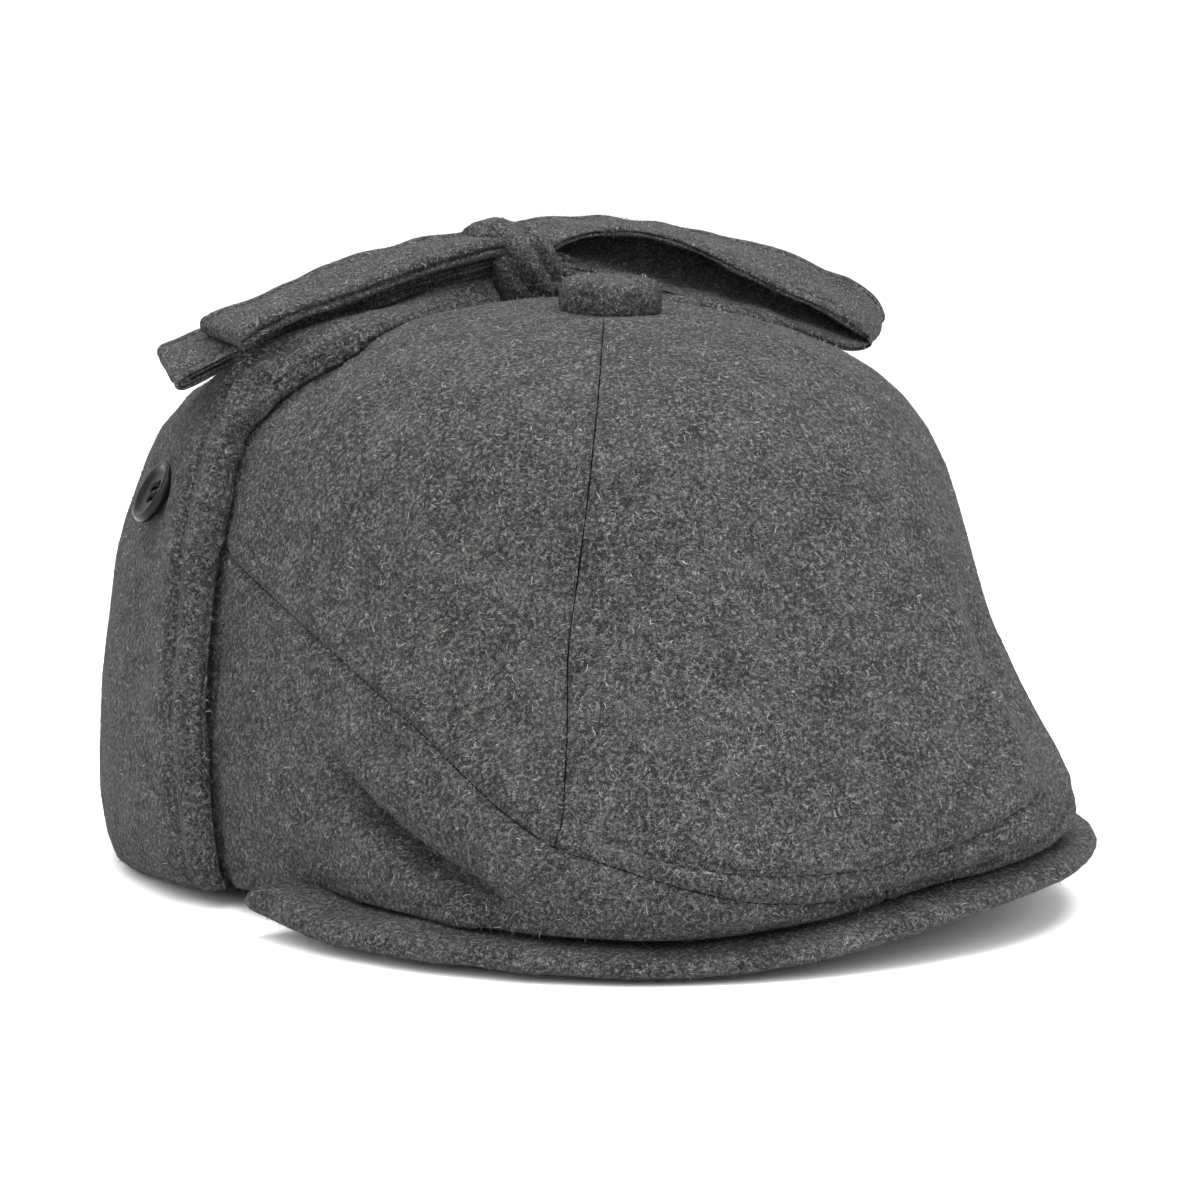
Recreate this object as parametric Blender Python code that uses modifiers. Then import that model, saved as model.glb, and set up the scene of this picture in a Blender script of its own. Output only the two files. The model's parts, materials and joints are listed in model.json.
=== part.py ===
"""Wool cap with a duckbill peak and ear flaps tied up over the crown in a bow.

Metres, +Z up, the floor at Z = 0. The peak points to -Y and the wearer's right is -X.
The origin is the middle of the cap's outer box, on the floor.
"""

import math

import bmesh
import bpy
from mathutils import Matrix, Vector

# Crown
CROWN_HEIGHT = 0.1295
CROWN_HALF_WIDTH = 0.0900
CROWN_FRONT = 0.1100
CROWN_BACK = 0.1295
CLOTH = 0.0025
BACK_SQUARENESS = 2.2

# Peak
PEAK_HALF_WIDTH = 0.0980
PEAK_REACH = 0.1140
PEAK_END = 0.0100
PEAK_DEPTH = 0.0500
PEAK_THICK = 0.0064
PEAK_SLOPE = 0.0040
PEAK_SQUARENESS = 2.2
EDGE_LIFT = 0.0100

# Ear flaps and the ties that they narrow into
FLAP_THICK = 0.0066
FLAP_BACK_GAP = 0.0030
TIE_WIDTH = 0.0240
TIE_THICK = 0.0035
STRAP_BEHIND = 0.0340
STRAP_OUT = 0.0600

# The shoulder: beyond it the ribbons' heights count from a plane that falls away
SHOULDER_OUT = 0.0720
SHOULDER_BEHIND = 0.0780
SHOULDER_FALL = 0.90

# Bow
KNOT_WIDTH = 0.0160
KNOT_DEPTH = 0.0210
KNOT_HEIGHT = 0.0205
LOOP_RIGHT_REACH = 0.0765
LOOP_LEFT_REACH = 0.0920
TAIL_RIGHT_REACH = 0.0785
TAIL_LEFT_REACH = 0.0720

# Buttons
TOP_BUTTON_RADIUS = 0.01165
TOP_BUTTON_THICK = 0.0065
FLAP_BUTTON_RADIUS = 0.0075
FLAP_BUTTON_THICK = 0.0030
FLAP_BUTTON_HOLE = 0.0010
FLAP_BUTTON_SPREAD = 0.0020
FLAP_BUTTON_TURN = 104.0
FLAP_BUTTON_RISE = 0.48

# Clearances
GAP = 0.0004
SEAT_GAP = 0.0006
FLAP_SEAT = 0.0009
PEAK_SEAT = 0.0008

# Where the crown's edge stands on the peak: how much sooner than the peak itself it is met
# from behind, and how far up the peak's slope it stands, as a share
RIM_SOONER = 2.0
RIM_UP_SLOPE = 0.35

# How finely the cloth is faceted
CROWN_TURNS = 56
CROWN_RISES = 20
FLAP_ACROSS = 12
RIBBON_STEPS = 3

AXIS_Y = (PEAK_REACH - CROWN_BACK - FLAP_SEAT - FLAP_THICK) / 2.0

# The crown's level outlines, from the rim up to the top button: how far up the cloth
# (rise), height, half width, front and back reach, the widest place behind the button,
# each as a share of its named size, and how square the front half is
CROWN_SECTIONS = [
    ("rise", "height", "width", "front", "back", "middle", "square"),
    (0.000, 0.000, 0.970, 0.945, 0.928, 0.225, 3.1),
    (0.055, 0.045, 0.988, 0.990, 0.968, 0.227, 2.9),
    (0.110, 0.120, 1.000, 0.990, 0.996, 0.228, 2.7),
    (0.180, 0.220, 1.000, 0.950, 1.000, 0.228, 2.5),
    (0.255, 0.330, 0.990, 0.890, 0.998, 0.228, 2.3),
    (0.335, 0.450, 0.963, 0.822, 0.993, 0.228, 2.2),
    (0.415, 0.570, 0.935, 0.755, 0.963, 0.227, 2.15),
    (0.500, 0.690, 0.900, 0.684, 0.892, 0.222, 2.15),
    (0.570, 0.790, 0.845, 0.605, 0.796, 0.210, 2.15),
    (0.645, 0.870, 0.745, 0.510, 0.675, 0.187, 2.15),
    (0.740, 0.940, 0.560, 0.373, 0.504, 0.140, 2.1),
    (0.870, 0.985, 0.290, 0.190, 0.267, 0.068, 2.1),
    (1.000, 1.000, 0.000, 0.000, 0.000, 0.000, 2.0),
]

# The lower edge, round from the back by the wearer's right: turn in degrees from the
# front, and the height of the edge above the floor as a share of EDGE_LIFT
EDGE_HEIGHTS = [
    ("turn", "height"),
    (-180.0, 0.00),
    (-140.0, 0.00),
    (-115.0, 0.25),
    (-98.0, 0.45),
    (-84.0, 0.45),
    (-71.0, 0.24),
    (-48.0, 0.12),
    (-25.0, 0.00),
    (-15.0, 0.08),
    (0.0, 0.47),
    (15.0, 0.85),
    (30.0, 1.05),
    (50.0, 1.10),
    (70.0, 1.02),
    (85.0, 0.82),
    (98.0, 0.55),
    (115.0, 0.25),
    (140.0, 0.00),
    (180.0, 0.00),
]

# Soft dents (negative) and ridges (positive) of the crown: where, how deep as a share
# of CROWN_HALF_WIDTH, how long and how wide, and how far the length leans from level
CROWN_FOLDS = [
    ("turn", "rise", "depth", "length", "width", "lean"),
    (-57.0, 0.115, -0.048, 15.0, 5.0, -38.0),
    (-48.0, 0.165, 0.022, 16.0, 6.0, -38.0),
    (-57.0, 0.240, -0.012, 7.0, 5.0, 0.0),
    (-40.0, 0.270, -0.010, 9.0, 5.0, 0.0),
    (-28.0, 0.250, 0.010, 8.0, 4.0, 90.0),
    (24.0, 0.220, 0.012, 14.0, 4.0, -78.0),
    (47.0, 0.270, -0.040, 14.0, 9.0, -75.0),
]

# The flap on the crown from its lower edge up to where the tie begins: turn and rise
# of its front edge and of its back edge, and its share of FLAP_THICK
FLAP_ROWS = [
    ("front_turn", "front_rise", "back_turn", "back_rise", "thick"),
    (85.0, 0.000, 180.0, 0.000, 0.45),
    (85.0, 0.040, 180.0, 0.040, 0.88),
    (85.0, 0.110, 180.0, 0.110, 1.00),
    (86.0, 0.200, 180.0, 0.190, 1.00),
    (87.0, 0.300, 179.0, 0.280, 1.00),
    (88.0, 0.400, 174.0, 0.370, 1.00),
    (88.0, 0.500, 162.0, 0.450, 1.00),
    (90.0, 0.570, 148.0, 0.515, 1.00),
]

# Where the tie crosses the crown: how far out as a share of STRAP_OUT, how far its front
# edge lies ahead of STRAP_BEHIND as a share of it, its share of TIE_WIDTH and FLAP_THICK
STRAP_ROWS = [
    ("out", "ahead", "width", "thick"),
    (1.00, 0.40, 1.74, 0.88),
    (0.75, 0.38, 1.56, 0.72),
    (0.50, 0.26, 1.34, 0.62),
    (0.25, 0.12, 1.09, 0.56),
    (0.00, 0.02, 0.83, 0.50),
]

# Ribbons of the bow: how far out as a share of the ribbon's reach, how far back from the
# knot's middle and how wide as shares of TIE_WIDTH, height over the crown as a share of
# KNOT_HEIGHT, and roll in degrees (front edge down is positive)
LOOP_RIGHT = [
    ("out", "back", "width", "height", "roll"),
    (0.00, 0.04, 0.72, 0.62, 0.0),
    (0.23, 0.29, 0.90, 0.61, -2.0),
    (0.49, 0.50, 1.00, 0.69, -3.0),
    (0.76, 0.67, 1.00, 0.86, -3.0),
    (0.93, 0.75, 1.00, 1.23, -3.0),
    (1.01, 0.75, 1.00, 1.31, -2.0),
    (0.93, 0.75, 1.00, 1.00, -3.0),
    (0.76, 0.67, 1.00, 0.66, -3.0),
    (0.49, 0.50, 1.00, 0.50, -3.0),
    (0.23, 0.29, 0.90, 0.41, -2.0),
    (0.00, 0.04, 0.72, 0.42, 0.0),
]
LOOP_LEFT = [
    ("out", "back", "width", "height", "roll"),
    (0.00, -0.08, 0.72, 0.72, 0.0),
    (0.16, -0.21, 0.90, 0.93, 6.0),
    (0.38, -0.25, 1.00, 0.95, 10.0),
    (0.62, -0.33, 1.00, 1.02, 12.0),
    (0.83, -0.42, 1.00, 1.39, 12.0),
    (0.95, -0.48, 1.00, 1.57, 10.0),
    (0.99, -0.50, 1.00, 1.55, 10.0),
    (0.95, -0.48, 1.00, 1.25, 14.0),
    (0.83, -0.42, 1.00, 1.00, 22.0),
    (0.62, -0.25, 1.00, 0.68, 24.0),
    (0.38, -0.08, 1.00, 0.60, 24.0),
    (0.16, 0.00, 0.90, 0.56, 20.0),
    (0.00, 0.00, 0.72, 0.44, 0.0),
]
TAIL_RIGHT = [
    ("out", "back", "width", "height", "roll"),
    (0.00, -0.04, 0.72, 0.80, 0.0),
    (0.25, -0.17, 0.90, 0.76, 4.0),
    (0.51, -0.25, 1.00, 0.74, 6.0),
    (0.74, -0.29, 1.00, 0.80, 6.0),
    (0.99, -0.29, 1.00, 1.20, 4.0),
]
TAIL_LEFT = [
    ("out", "back", "width", "height", "roll"),
    (0.00, 0.27, 0.50, 1.01, 0.0),
    (0.21, 0.96, 0.75, 1.28, -4.0),
    (0.48, 1.17, 0.90, 1.10, -10.0),
    (0.75, 1.25, 0.90, 1.10, -12.0),
    (1.00, 1.33, 0.90, 1.77, -12.0),
]


def spline(rows, place):
    """Read a table with a heading row at place 0..1 along its rows, on a smooth curve."""
    rows = rows[1:] if isinstance(rows[0][0], str) else rows
    spot = min(max(place, 0.0), 1.0) * (len(rows) - 1)
    index = min(int(spot), len(rows) - 2)
    share = spot - index
    before = rows[max(index - 1, 0)]
    start = rows[index]
    end = rows[index + 1]
    after = rows[min(index + 2, len(rows) - 1)]
    values = []
    for a, b, c, d in zip(before, start, end, after):
        values.append(b + 0.5 * share * (c - a + share * (2 * a - 5 * b + 4 * c - d
                                                          + share * (3 * (b - c) + d - a))))
    return values


def lookup(table, key):
    """Read a table against its first column, on a smooth curve through the rows."""
    rows = table[1:]
    if key >= rows[-1][0]:
        return list(rows[-1])
    index = max(i for i, row in enumerate(rows) if row[0] <= key)
    start = rows[index]
    end = rows[index + 1]
    before = rows[max(index - 1, 0)]
    after = rows[min(index + 2, len(rows) - 1)]
    span = end[0] - start[0]
    share = (key - start[0]) / span
    values = [key]
    for a, b, c, d in zip(before[1:], start[1:], end[1:], after[1:]):
        slope_in = (c - a) / (end[0] - before[0]) * span
        slope_out = (d - b) / (after[0] - start[0]) * span
        values.append(b + share * (slope_in + share * (
            3 * (c - b) - 2 * slope_in - slope_out
            + share * (2 * (b - c) + slope_in + slope_out))))
    return values


def power(value, exponent):
    """A signed power, for outlines between an ellipse and a rectangle."""
    return math.copysign(abs(value) ** exponent, value)


def edge_height(out, behind):
    """Height of the cap's lower edge above the floor, by its direction from the button."""
    turn = math.degrees(math.atan2(out, -behind))
    return max(0.0, lookup(EDGE_HEIGHTS, turn)[1]) * EDGE_LIFT


def peak_thickness(behind):
    """The peak thins towards its two ends."""
    share = min(1.0, max(0.0, (-behind - PEAK_END) / (0.2 * PEAK_REACH)))
    return PEAK_THICK * (0.5 + 0.5 * share * (2.0 - share))


def rim_height(out, behind):
    """The crown's lower edge stands on the peak in front and near the floor behind."""
    slope = RIM_UP_SLOPE * PEAK_SLOPE * max(0.0, -behind / PEAK_REACH)
    over_peak = peak_thickness(RIM_SOONER * behind) + slope
    share = min(1.0, max(0.0, -RIM_SOONER * behind / PEAK_END))
    return edge_height(out, behind) + PEAK_SEAT + over_peak * share


def crown_outline(turn, rise):
    """Plan place on one level outline, and that level's height share."""
    _, height, width, front, back, middle, square = lookup(CROWN_SECTIONS, rise)
    side = math.sin(math.radians(turn))
    forward = math.cos(math.radians(turn))
    square = square if forward > 0 else BACK_SQUARENESS
    middle = middle * CROWN_BACK
    reach = front * CROWN_FRONT + middle if forward > 0 else back * CROWN_BACK - middle
    radius = (abs(side) ** square + abs(forward) ** square) ** (-1.0 / square)
    return width * CROWN_HALF_WIDTH * side * radius, middle - reach * forward * radius, height


def plain_crown_point(turn, rise):
    """A point of the crown's outer face before folds, from the button's axis."""
    out, behind, height = crown_outline(turn, rise)
    rim_out, rim_behind, _ = crown_outline(turn, 0.0)
    rim = rim_height(rim_out, rim_behind)
    return Vector((out, behind, rim + (CROWN_HEIGHT - rim) * height))


def crown_normal(turn, rise):
    """The outward direction of the crown's plain face."""
    rise = min(rise, 0.985)
    step_turn = 1.5
    step_rise = 0.012
    low = max(rise - step_rise, 0.0)
    across = plain_crown_point(turn + step_turn, rise) - plain_crown_point(turn - step_turn, rise)
    upward = plain_crown_point(turn, rise + step_rise) - plain_crown_point(turn, low)
    return across.cross(upward).normalized()


def fold_depth(turn, rise):
    """How far the folds move the crown's face outward at one place."""
    total = 0.0
    turn = (turn + 180.0) % 360.0 - 180.0
    for fold_turn, fold_rise, depth, length, width, lean in CROWN_FOLDS[1:]:
        side = turn - fold_turn
        up = (rise - fold_rise) * 100.0
        angle = math.radians(lean)
        along = side * math.cos(angle) + up * math.sin(angle)
        over = up * math.cos(angle) - side * math.sin(angle)
        total += depth * math.exp(-(along / length) ** 2 - (over / width) ** 2)
    return total * CROWN_HALF_WIDTH


def crown_point(turn, rise, stand=0.0):
    """A point of the crown's outer face, or one that stands off it, in the cap's frame."""
    point = plain_crown_point(turn, rise)
    point += crown_normal(turn, rise) * (fold_depth(turn, rise) + stand)
    return point + Vector((0.0, AXIS_Y, 0.0))


def crown_place(out, behind):
    """The turn and rise of the crown's upper face at a plan position from the button."""
    low = 0.3
    high = 0.999
    for _ in range(30):
        rise = (low + high) / 2.0
        _, _, width, front, back, middle, square = lookup(CROWN_SECTIONS, rise)
        middle = middle * CROWN_BACK
        ahead = behind < middle
        square = square if ahead else BACK_SQUARENESS
        reach = front * CROWN_FRONT + middle if ahead else back * CROWN_BACK - middle
        side = out / (width * CROWN_HALF_WIDTH)
        forward = (middle - behind) / reach
        if abs(side) ** square + abs(forward) ** square < 1.0:
            low = rise
        else:
            high = rise
    return math.degrees(math.atan2(side, forward)), rise


def crown_top(out, behind):
    """Height of the crown's face over a plan position from the button's axis."""
    return plain_crown_point(*crown_place(out, behind)).z


def material(name, color, roughness, metallic=0.0):
    """A plain Principled material."""
    made = bpy.data.materials.new(name)
    made.use_nodes = True
    shader = made.node_tree.nodes["Principled BSDF"]
    shader.inputs["Base Color"].default_value = (*color, 1.0)
    shader.inputs["Roughness"].default_value = roughness
    shader.inputs["Metallic"].default_value = metallic
    made.diffuse_color = (*color, 1.0)
    return made


def add_object(name, mesh, finish, collection):
    """Put a mesh in the collection as a named part with one finish."""
    part = bpy.data.objects.new(name, mesh)
    if finish is not None:
        mesh.materials.append(finish)
    collection.objects.link(part)
    return part


def loft(name, rings, finish, collection):
    """A closed soft solid through rings of equally many points, capped at both ends."""
    mesh = bpy.data.meshes.new(name)
    shape = bmesh.new()
    loops = [[shape.verts.new(point) for point in ring] for ring in rings]
    count = len(loops[0])
    for first, second in zip(loops, loops[1:]):
        for i in range(count):
            j = (i + 1) % count
            shape.faces.new((first[i], first[j], second[j], second[i]))
    shape.faces.new(loops[0])
    shape.faces.new(list(reversed(loops[-1])))
    bmesh.ops.recalc_face_normals(shape, faces=shape.faces)
    shape.to_mesh(mesh)
    shape.free()
    mesh.shade_smooth()
    mesh.set_sharp_from_angle(angle=math.radians(50.0))
    return add_object(name, mesh, finish, collection)


def make_crown(finish, collection):
    """The hollow crown: a sheet of level outlines, thickened inward to one cloth wall."""
    mesh = bpy.data.meshes.new("crown")
    shape = bmesh.new()
    levels = []
    for level in range(CROWN_RISES):
        rise = level / CROWN_RISES
        levels.append([shape.verts.new(crown_point(360.0 * i / CROWN_TURNS, rise))
                       for i in range(CROWN_TURNS)])
    top = shape.verts.new((0.0, AXIS_Y, CROWN_HEIGHT))
    for lower, upper in zip(levels, levels[1:]):
        for i in range(CROWN_TURNS):
            j = (i + 1) % CROWN_TURNS
            shape.faces.new((lower[i], lower[j], upper[j], upper[i]))
    for i in range(CROWN_TURNS):
        shape.faces.new((levels[-1][i], levels[-1][(i + 1) % CROWN_TURNS], top))
    shape.to_mesh(mesh)
    shape.free()
    mesh.shade_smooth()
    crown = add_object("crown", mesh, finish, collection)
    wall = crown.modifiers.new("cloth wall", "SOLIDIFY")
    wall.thickness = CLOTH
    wall.offset = -1.0
    wall.use_even_offset = False
    return crown


def peak_outline(angle, reach, half_width):
    """A plan point on the peak's outline, from straight left to straight right."""
    return Vector((half_width * power(math.sin(angle), 2.0 / PEAK_SQUARENESS),
                   -PEAK_END - (reach - PEAK_END) * abs(math.cos(angle)) ** (2.0 / PEAK_SQUARENESS)
                   + AXIS_Y, 0.0))


def make_peak(finish, collection):
    """The padded peak: rounded sections from its right end round the front to its left."""
    stations = 30
    sides = 12
    tip_inset = 0.36 * PEAK_DEPTH
    rings = []
    for station in range(stations + 1):
        angle = math.radians(-89.0 + 178.0 * station / stations)
        outer = peak_outline(angle, PEAK_REACH, PEAK_HALF_WIDTH)
        inner = peak_outline(angle, PEAK_REACH - PEAK_DEPTH, PEAK_HALF_WIDTH - tip_inset)
        base = edge_height(outer.x, outer.y - AXIS_Y)
        inward = inner - outer
        half = peak_thickness(outer.y - AXIS_Y) / 2.0
        slope = PEAK_SLOPE * max(0.0, (AXIS_Y - outer.y) / PEAK_REACH)
        ring = []
        for side in range(sides):
            around = math.tau * side / sides
            along = 0.5 - 0.5 * power(math.cos(around), 0.55)
            over = power(math.sin(around), 0.8)
            point = outer + inward * along
            point.z = base + half + slope * along + half * over
            ring.append(point)
        rings.append(ring)
    return loft("peak", rings, finish, collection)


def flap_ring(front, back, thick, side, flat):
    """One rounded section of a flap or tie, between two places on the crown's face."""
    inside = [step / FLAP_ACROSS for step in range(FLAP_ACROSS + 1)]
    outside = [1.0, 0.985, 0.94] + inside[-2:0:-1] + [0.06, 0.015, 0.0]
    points = []
    for layer, spots in enumerate((inside, outside)):
        for spot in spots:
            turn = front[0] + (back[0] - front[0]) * spot
            rise = front[1] + (back[1] - front[1]) * spot
            edge = min(spot, 1.0 - spot) / 0.06
            roll = 0.35 + 0.65 * math.sqrt(max(0.0, 1.0 - max(0.0, 1.0 - edge) ** 2))
            point = crown_point(side * turn, rise, FLAP_SEAT + layer * thick * roll)
            lowest = edge_height(point.x, point.y - AXIS_Y) + 0.4 * rise * CROWN_HEIGHT
            point.z = lowest if flat else max(point.z, lowest)
            points.append(point)
    return points


def make_flap(name, side, finish, collection):
    """An ear flap that lies on the crown and narrows into its tie, up to the knot."""
    rows = FLAP_ROWS[1:]
    start = KNOT_WIDTH / 2.0 + GAP
    for out, ahead, width, thick in STRAP_ROWS[1:]:
        place = start + (STRAP_OUT - start) * out
        behind = STRAP_BEHIND * (1.0 - ahead)
        front = crown_place(place, behind)
        back = crown_place(place, behind + width * TIE_WIDTH)
        rows.append((*front, *back, thick))
    trim = math.degrees(FLAP_BACK_GAP / 2.0 / CROWN_HALF_WIDTH)
    rings = []
    count = 2 * (len(rows) - 1)
    for step in range(count + 1):
        front_turn, front_rise, back_turn, back_rise, thick = spline(rows, step / count)
        front = (front_turn, front_rise)
        back = (min(back_turn, 180.0 - trim), back_rise)
        rings.append(flap_ring(front, back, thick * FLAP_THICK, side, step == 0))
    return loft(name, rings, finish, collection)


def ribbon(name, rows, side, reach, finish, collection):
    """A tie's ribbon on a path over the crown, with rounded edges and both ends capped."""
    knot_behind = STRAP_BEHIND + TIE_WIDTH / 2.0
    start = KNOT_WIDTH / 2.0 + GAP
    count = RIBBON_STEPS * (len(rows) - 2)
    path = []
    for step in range(count + 1):
        out, back, width, height, roll = spline(rows, step / count)
        place = start + (reach - start) * max(out, 0.0)
        behind = knot_behind + back * TIE_WIDTH
        level = crown_top(min(place, SHOULDER_OUT), min(behind, SHOULDER_BEHIND))
        level -= SHOULDER_FALL * max(0.0, place - SHOULDER_OUT)
        point = Vector((side * place, behind + AXIS_Y, level + height * KNOT_HEIGHT))
        path.append((point, width * TIE_WIDTH / 2.0, math.radians(roll)))
    rings = []
    for index, (point, half, roll) in enumerate(path):
        ahead = path[min(index + 1, count)][0] - path[max(index - 1, 0)][0]
        if index in (0, count) and abs(point.x) < start + GAP:
            ahead = Vector((math.copysign(1.0, ahead.x), 0.0, 0.0))
        ahead.normalize()
        across = Vector((0.0, 1.0, 0.0))
        across = (across - ahead * across.dot(ahead)).normalized()
        over = ahead.cross(across) * side
        turned = across * math.cos(roll) + over * math.sin(roll)
        over = over * math.cos(roll) - across * math.sin(roll)
        ring = []
        for corner in range(10):
            around = math.tau * (corner + 0.5) / 10
            ring.append(point + turned * (half * power(math.cos(around), 0.45))
                        + over * (TIE_THICK / 2.0 * power(math.sin(around), 0.6)))
        rings.append(ring)
    return loft(name, rings, finish, collection)


def make_knot(finish, collection):
    """The knot: a soft band over the ties, leaning a little, seated on the crown."""
    behind = STRAP_BEHIND + TIE_WIDTH / 2.0
    floor = crown_top(0.0, behind) + SEAT_GAP
    centre = floor + KNOT_HEIGHT / 2.0
    rings = []
    for share, size in ((-1.0, 0.72), (-0.85, 0.90), (-0.45, 1.0), (0.0, 1.0),
                        (0.45, 1.0), (0.85, 0.90), (1.0, 0.72)):
        ring = []
        for corner in range(18):
            around = math.tau * corner / 18
            up = size * KNOT_HEIGHT / 2.0 * power(math.sin(around), 0.75)
            back = size * KNOT_DEPTH / 2.0 * power(math.cos(around), 0.75)
            ring.append(Vector((share * KNOT_WIDTH / 2.0, behind + back + AXIS_Y, centre + up)))
        rings.append(ring)
    return loft("tie_knot", rings, finish, collection)


def turned_solid(name, profile, sides, finish, collection):
    """A closed turned solid from a profile that starts and ends on the axis."""
    mesh = bpy.data.meshes.new(name)
    shape = bmesh.new()
    points = [shape.verts.new((radius, 0.0, height)) for radius, height in profile]
    edges = [shape.edges.new(pair) for pair in zip(points, points[1:])]
    bmesh.ops.spin(shape, geom=points + edges, cent=(0, 0, 0), axis=(0, 0, 1),
                   angle=math.tau, steps=sides, use_merge=True)
    bmesh.ops.remove_doubles(shape, verts=shape.verts, dist=1e-6)
    bmesh.ops.recalc_face_normals(shape, faces=shape.faces)
    shape.to_mesh(mesh)
    shape.free()
    mesh.shade_smooth()
    mesh.set_sharp_from_angle(angle=math.radians(40.0))
    return add_object(name, mesh, finish, collection)


def make_top_button(finish, collection):
    """The cloth-covered button on top: a low dome with a rolled edge."""
    profile = [(0.0, 0.0), (0.72 * TOP_BUTTON_RADIUS, 0.0)]
    for step in range(1, 8):
        angle = math.radians(-70.0 + 160.0 * step / 8)
        radius = TOP_BUTTON_RADIUS * (0.72 + 0.28 * max(math.cos(angle), 0.0) ** 0.7)
        profile.append((radius, TOP_BUTTON_THICK * (0.5 + 0.5 * power(math.sin(angle), 0.9)) * 0.9))
    profile.append((0.35 * TOP_BUTTON_RADIUS, 0.98 * TOP_BUTTON_THICK))
    profile.append((0.0, TOP_BUTTON_THICK))
    button = turned_solid("top_button", profile, 24, finish, collection)
    button.location = (0.0, AXIS_Y, CROWN_HEIGHT + GAP)
    return button


def button_plate(shape, ring, radius, height):
    """Close a ring with a flat plate round four thread holes, and give the holes' edges."""
    centre = shape.verts.new((0.0, 0.0, height))
    quarter = len(ring) // 4
    spokes = []
    for index in range(4):
        turn = math.tau * index / 4
        spokes.append(shape.verts.new((0.5 * radius * math.cos(turn),
                                       0.5 * radius * math.sin(turn), height)))
    holes = []
    for index in range(4):
        middle = math.tau * (index + 0.5) / 4
        outline = [centre, spokes[index]]
        outline += [ring[(index * quarter + i) % len(ring)] for i in range(quarter + 1)]
        outline.append(spokes[(index + 1) % 4])
        count = len(outline)
        hole = []
        for i in range(count):
            around = middle + math.pi + math.tau * i / count
            out = FLAP_BUTTON_SPREAD * math.cos(middle) + FLAP_BUTTON_HOLE * math.cos(around)
            up = FLAP_BUTTON_SPREAD * math.sin(middle) + FLAP_BUTTON_HOLE * math.sin(around)
            hole.append(shape.verts.new((out, up, height)))
        for i in range(count):
            j = (i + 1) % count
            shape.faces.new((outline[i], outline[j], hole[j], hole[i]))
        holes.append(hole)
    return holes


def make_flap_button(name, side, finish, collection):
    """A sew-through button with a raised rim and four holes, lying on its flap."""
    radius = FLAP_BUTTON_RADIUS
    thick = FLAP_BUTTON_THICK
    sides = 24
    profile = [(0.80, 0.0), (0.96, 0.25), (1.0, 0.55), (0.97, 0.88), (0.88, 1.0),
               (0.78, 0.92), (0.66, 0.68), (0.60, 0.62)]
    mesh = bpy.data.meshes.new(name)
    shape = bmesh.new()
    rings = []
    for out, up in profile:
        rings.append([shape.verts.new((out * radius * math.cos(math.tau * i / sides),
                                       out * radius * math.sin(math.tau * i / sides),
                                       up * thick)) for i in range(sides)])
    for lower, upper in zip(rings, rings[1:]):
        for i in range(sides):
            j = (i + 1) % sides
            shape.faces.new((lower[i], lower[j], upper[j], upper[i]))
    below = button_plate(shape, rings[0], profile[0][0] * radius, 0.0)
    above = button_plate(shape, rings[-1], profile[-1][0] * radius, profile[-1][1] * thick)
    for lower, upper in zip(below, above):
        for i in range(len(lower)):
            j = (i + 1) % len(lower)
            shape.faces.new((lower[i], lower[j], upper[j], upper[i]))
    bmesh.ops.recalc_face_normals(shape, faces=shape.faces)
    shape.to_mesh(mesh)
    shape.free()
    mesh.shade_smooth()
    mesh.set_sharp_from_angle(angle=math.radians(40.0))
    button = add_object(name, mesh, finish, collection)
    normal = crown_normal(side * FLAP_BUTTON_TURN, FLAP_BUTTON_RISE)
    seat = crown_point(side * FLAP_BUTTON_TURN, FLAP_BUTTON_RISE,
                       FLAP_SEAT + SEAT_GAP + FLAP_THICK)
    level = Vector((0.0, 0.0, 1.0)).cross(normal).normalized()
    facing = Matrix((level, normal.cross(level), normal)).transposed().to_4x4()
    button.matrix_world = Matrix.Translation(seat) @ facing
    return button


def build():
    """Make every part of the cap in one collection."""
    for old in list(bpy.data.objects):
        bpy.data.objects.remove(old, do_unlink=True)
    scene = bpy.context.scene
    collection = bpy.data.collections.new("ear_flap_cap")
    scene.collection.children.link(collection)

    crown_wool = material("crown_wool", (0.09, 0.09, 0.093), 0.95)
    peak_wool = material("peak_wool", (0.09, 0.09, 0.093), 0.95)
    flap_wool = material("flap_wool", (0.085, 0.085, 0.088), 0.95)
    tie_wool = material("tie_wool", (0.085, 0.085, 0.088), 0.95)
    button_wool = material("button_wool", (0.09, 0.09, 0.093), 0.95)
    black_plastic = material("black_plastic", (0.012, 0.012, 0.013), 0.35)

    make_crown(crown_wool, collection)
    make_peak(peak_wool, collection)
    make_flap("ear_flap_right", -1.0, flap_wool, collection)
    make_flap("ear_flap_left", 1.0, flap_wool, collection)
    make_knot(tie_wool, collection)
    ribbon("bow_loop_right", LOOP_RIGHT, -1.0, LOOP_RIGHT_REACH, tie_wool, collection)
    ribbon("bow_loop_left", LOOP_LEFT, 1.0, LOOP_LEFT_REACH, tie_wool, collection)
    ribbon("bow_tail_right", TAIL_RIGHT, -1.0, TAIL_RIGHT_REACH, tie_wool, collection)
    ribbon("bow_tail_left", TAIL_LEFT, 1.0, TAIL_LEFT_REACH, tie_wool, collection)
    make_top_button(button_wool, collection)
    make_flap_button("flap_button_right", -1.0, black_plastic, collection)
    make_flap_button("flap_button_left", 1.0, black_plastic, collection)


if __name__ == "__main__":
    build()
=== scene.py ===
"""Wool cap with a padded peak and ear flaps tied up over its crown, dressed over its solids.

Metres, +Z up, the floor at Z = 0. The peak points to -Y and the wearer's right is -X.
"""

from __future__ import annotations

import json
import logging
import math
from collections.abc import Iterator
from contextlib import contextmanager
from dataclasses import dataclass
from enum import Enum

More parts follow.
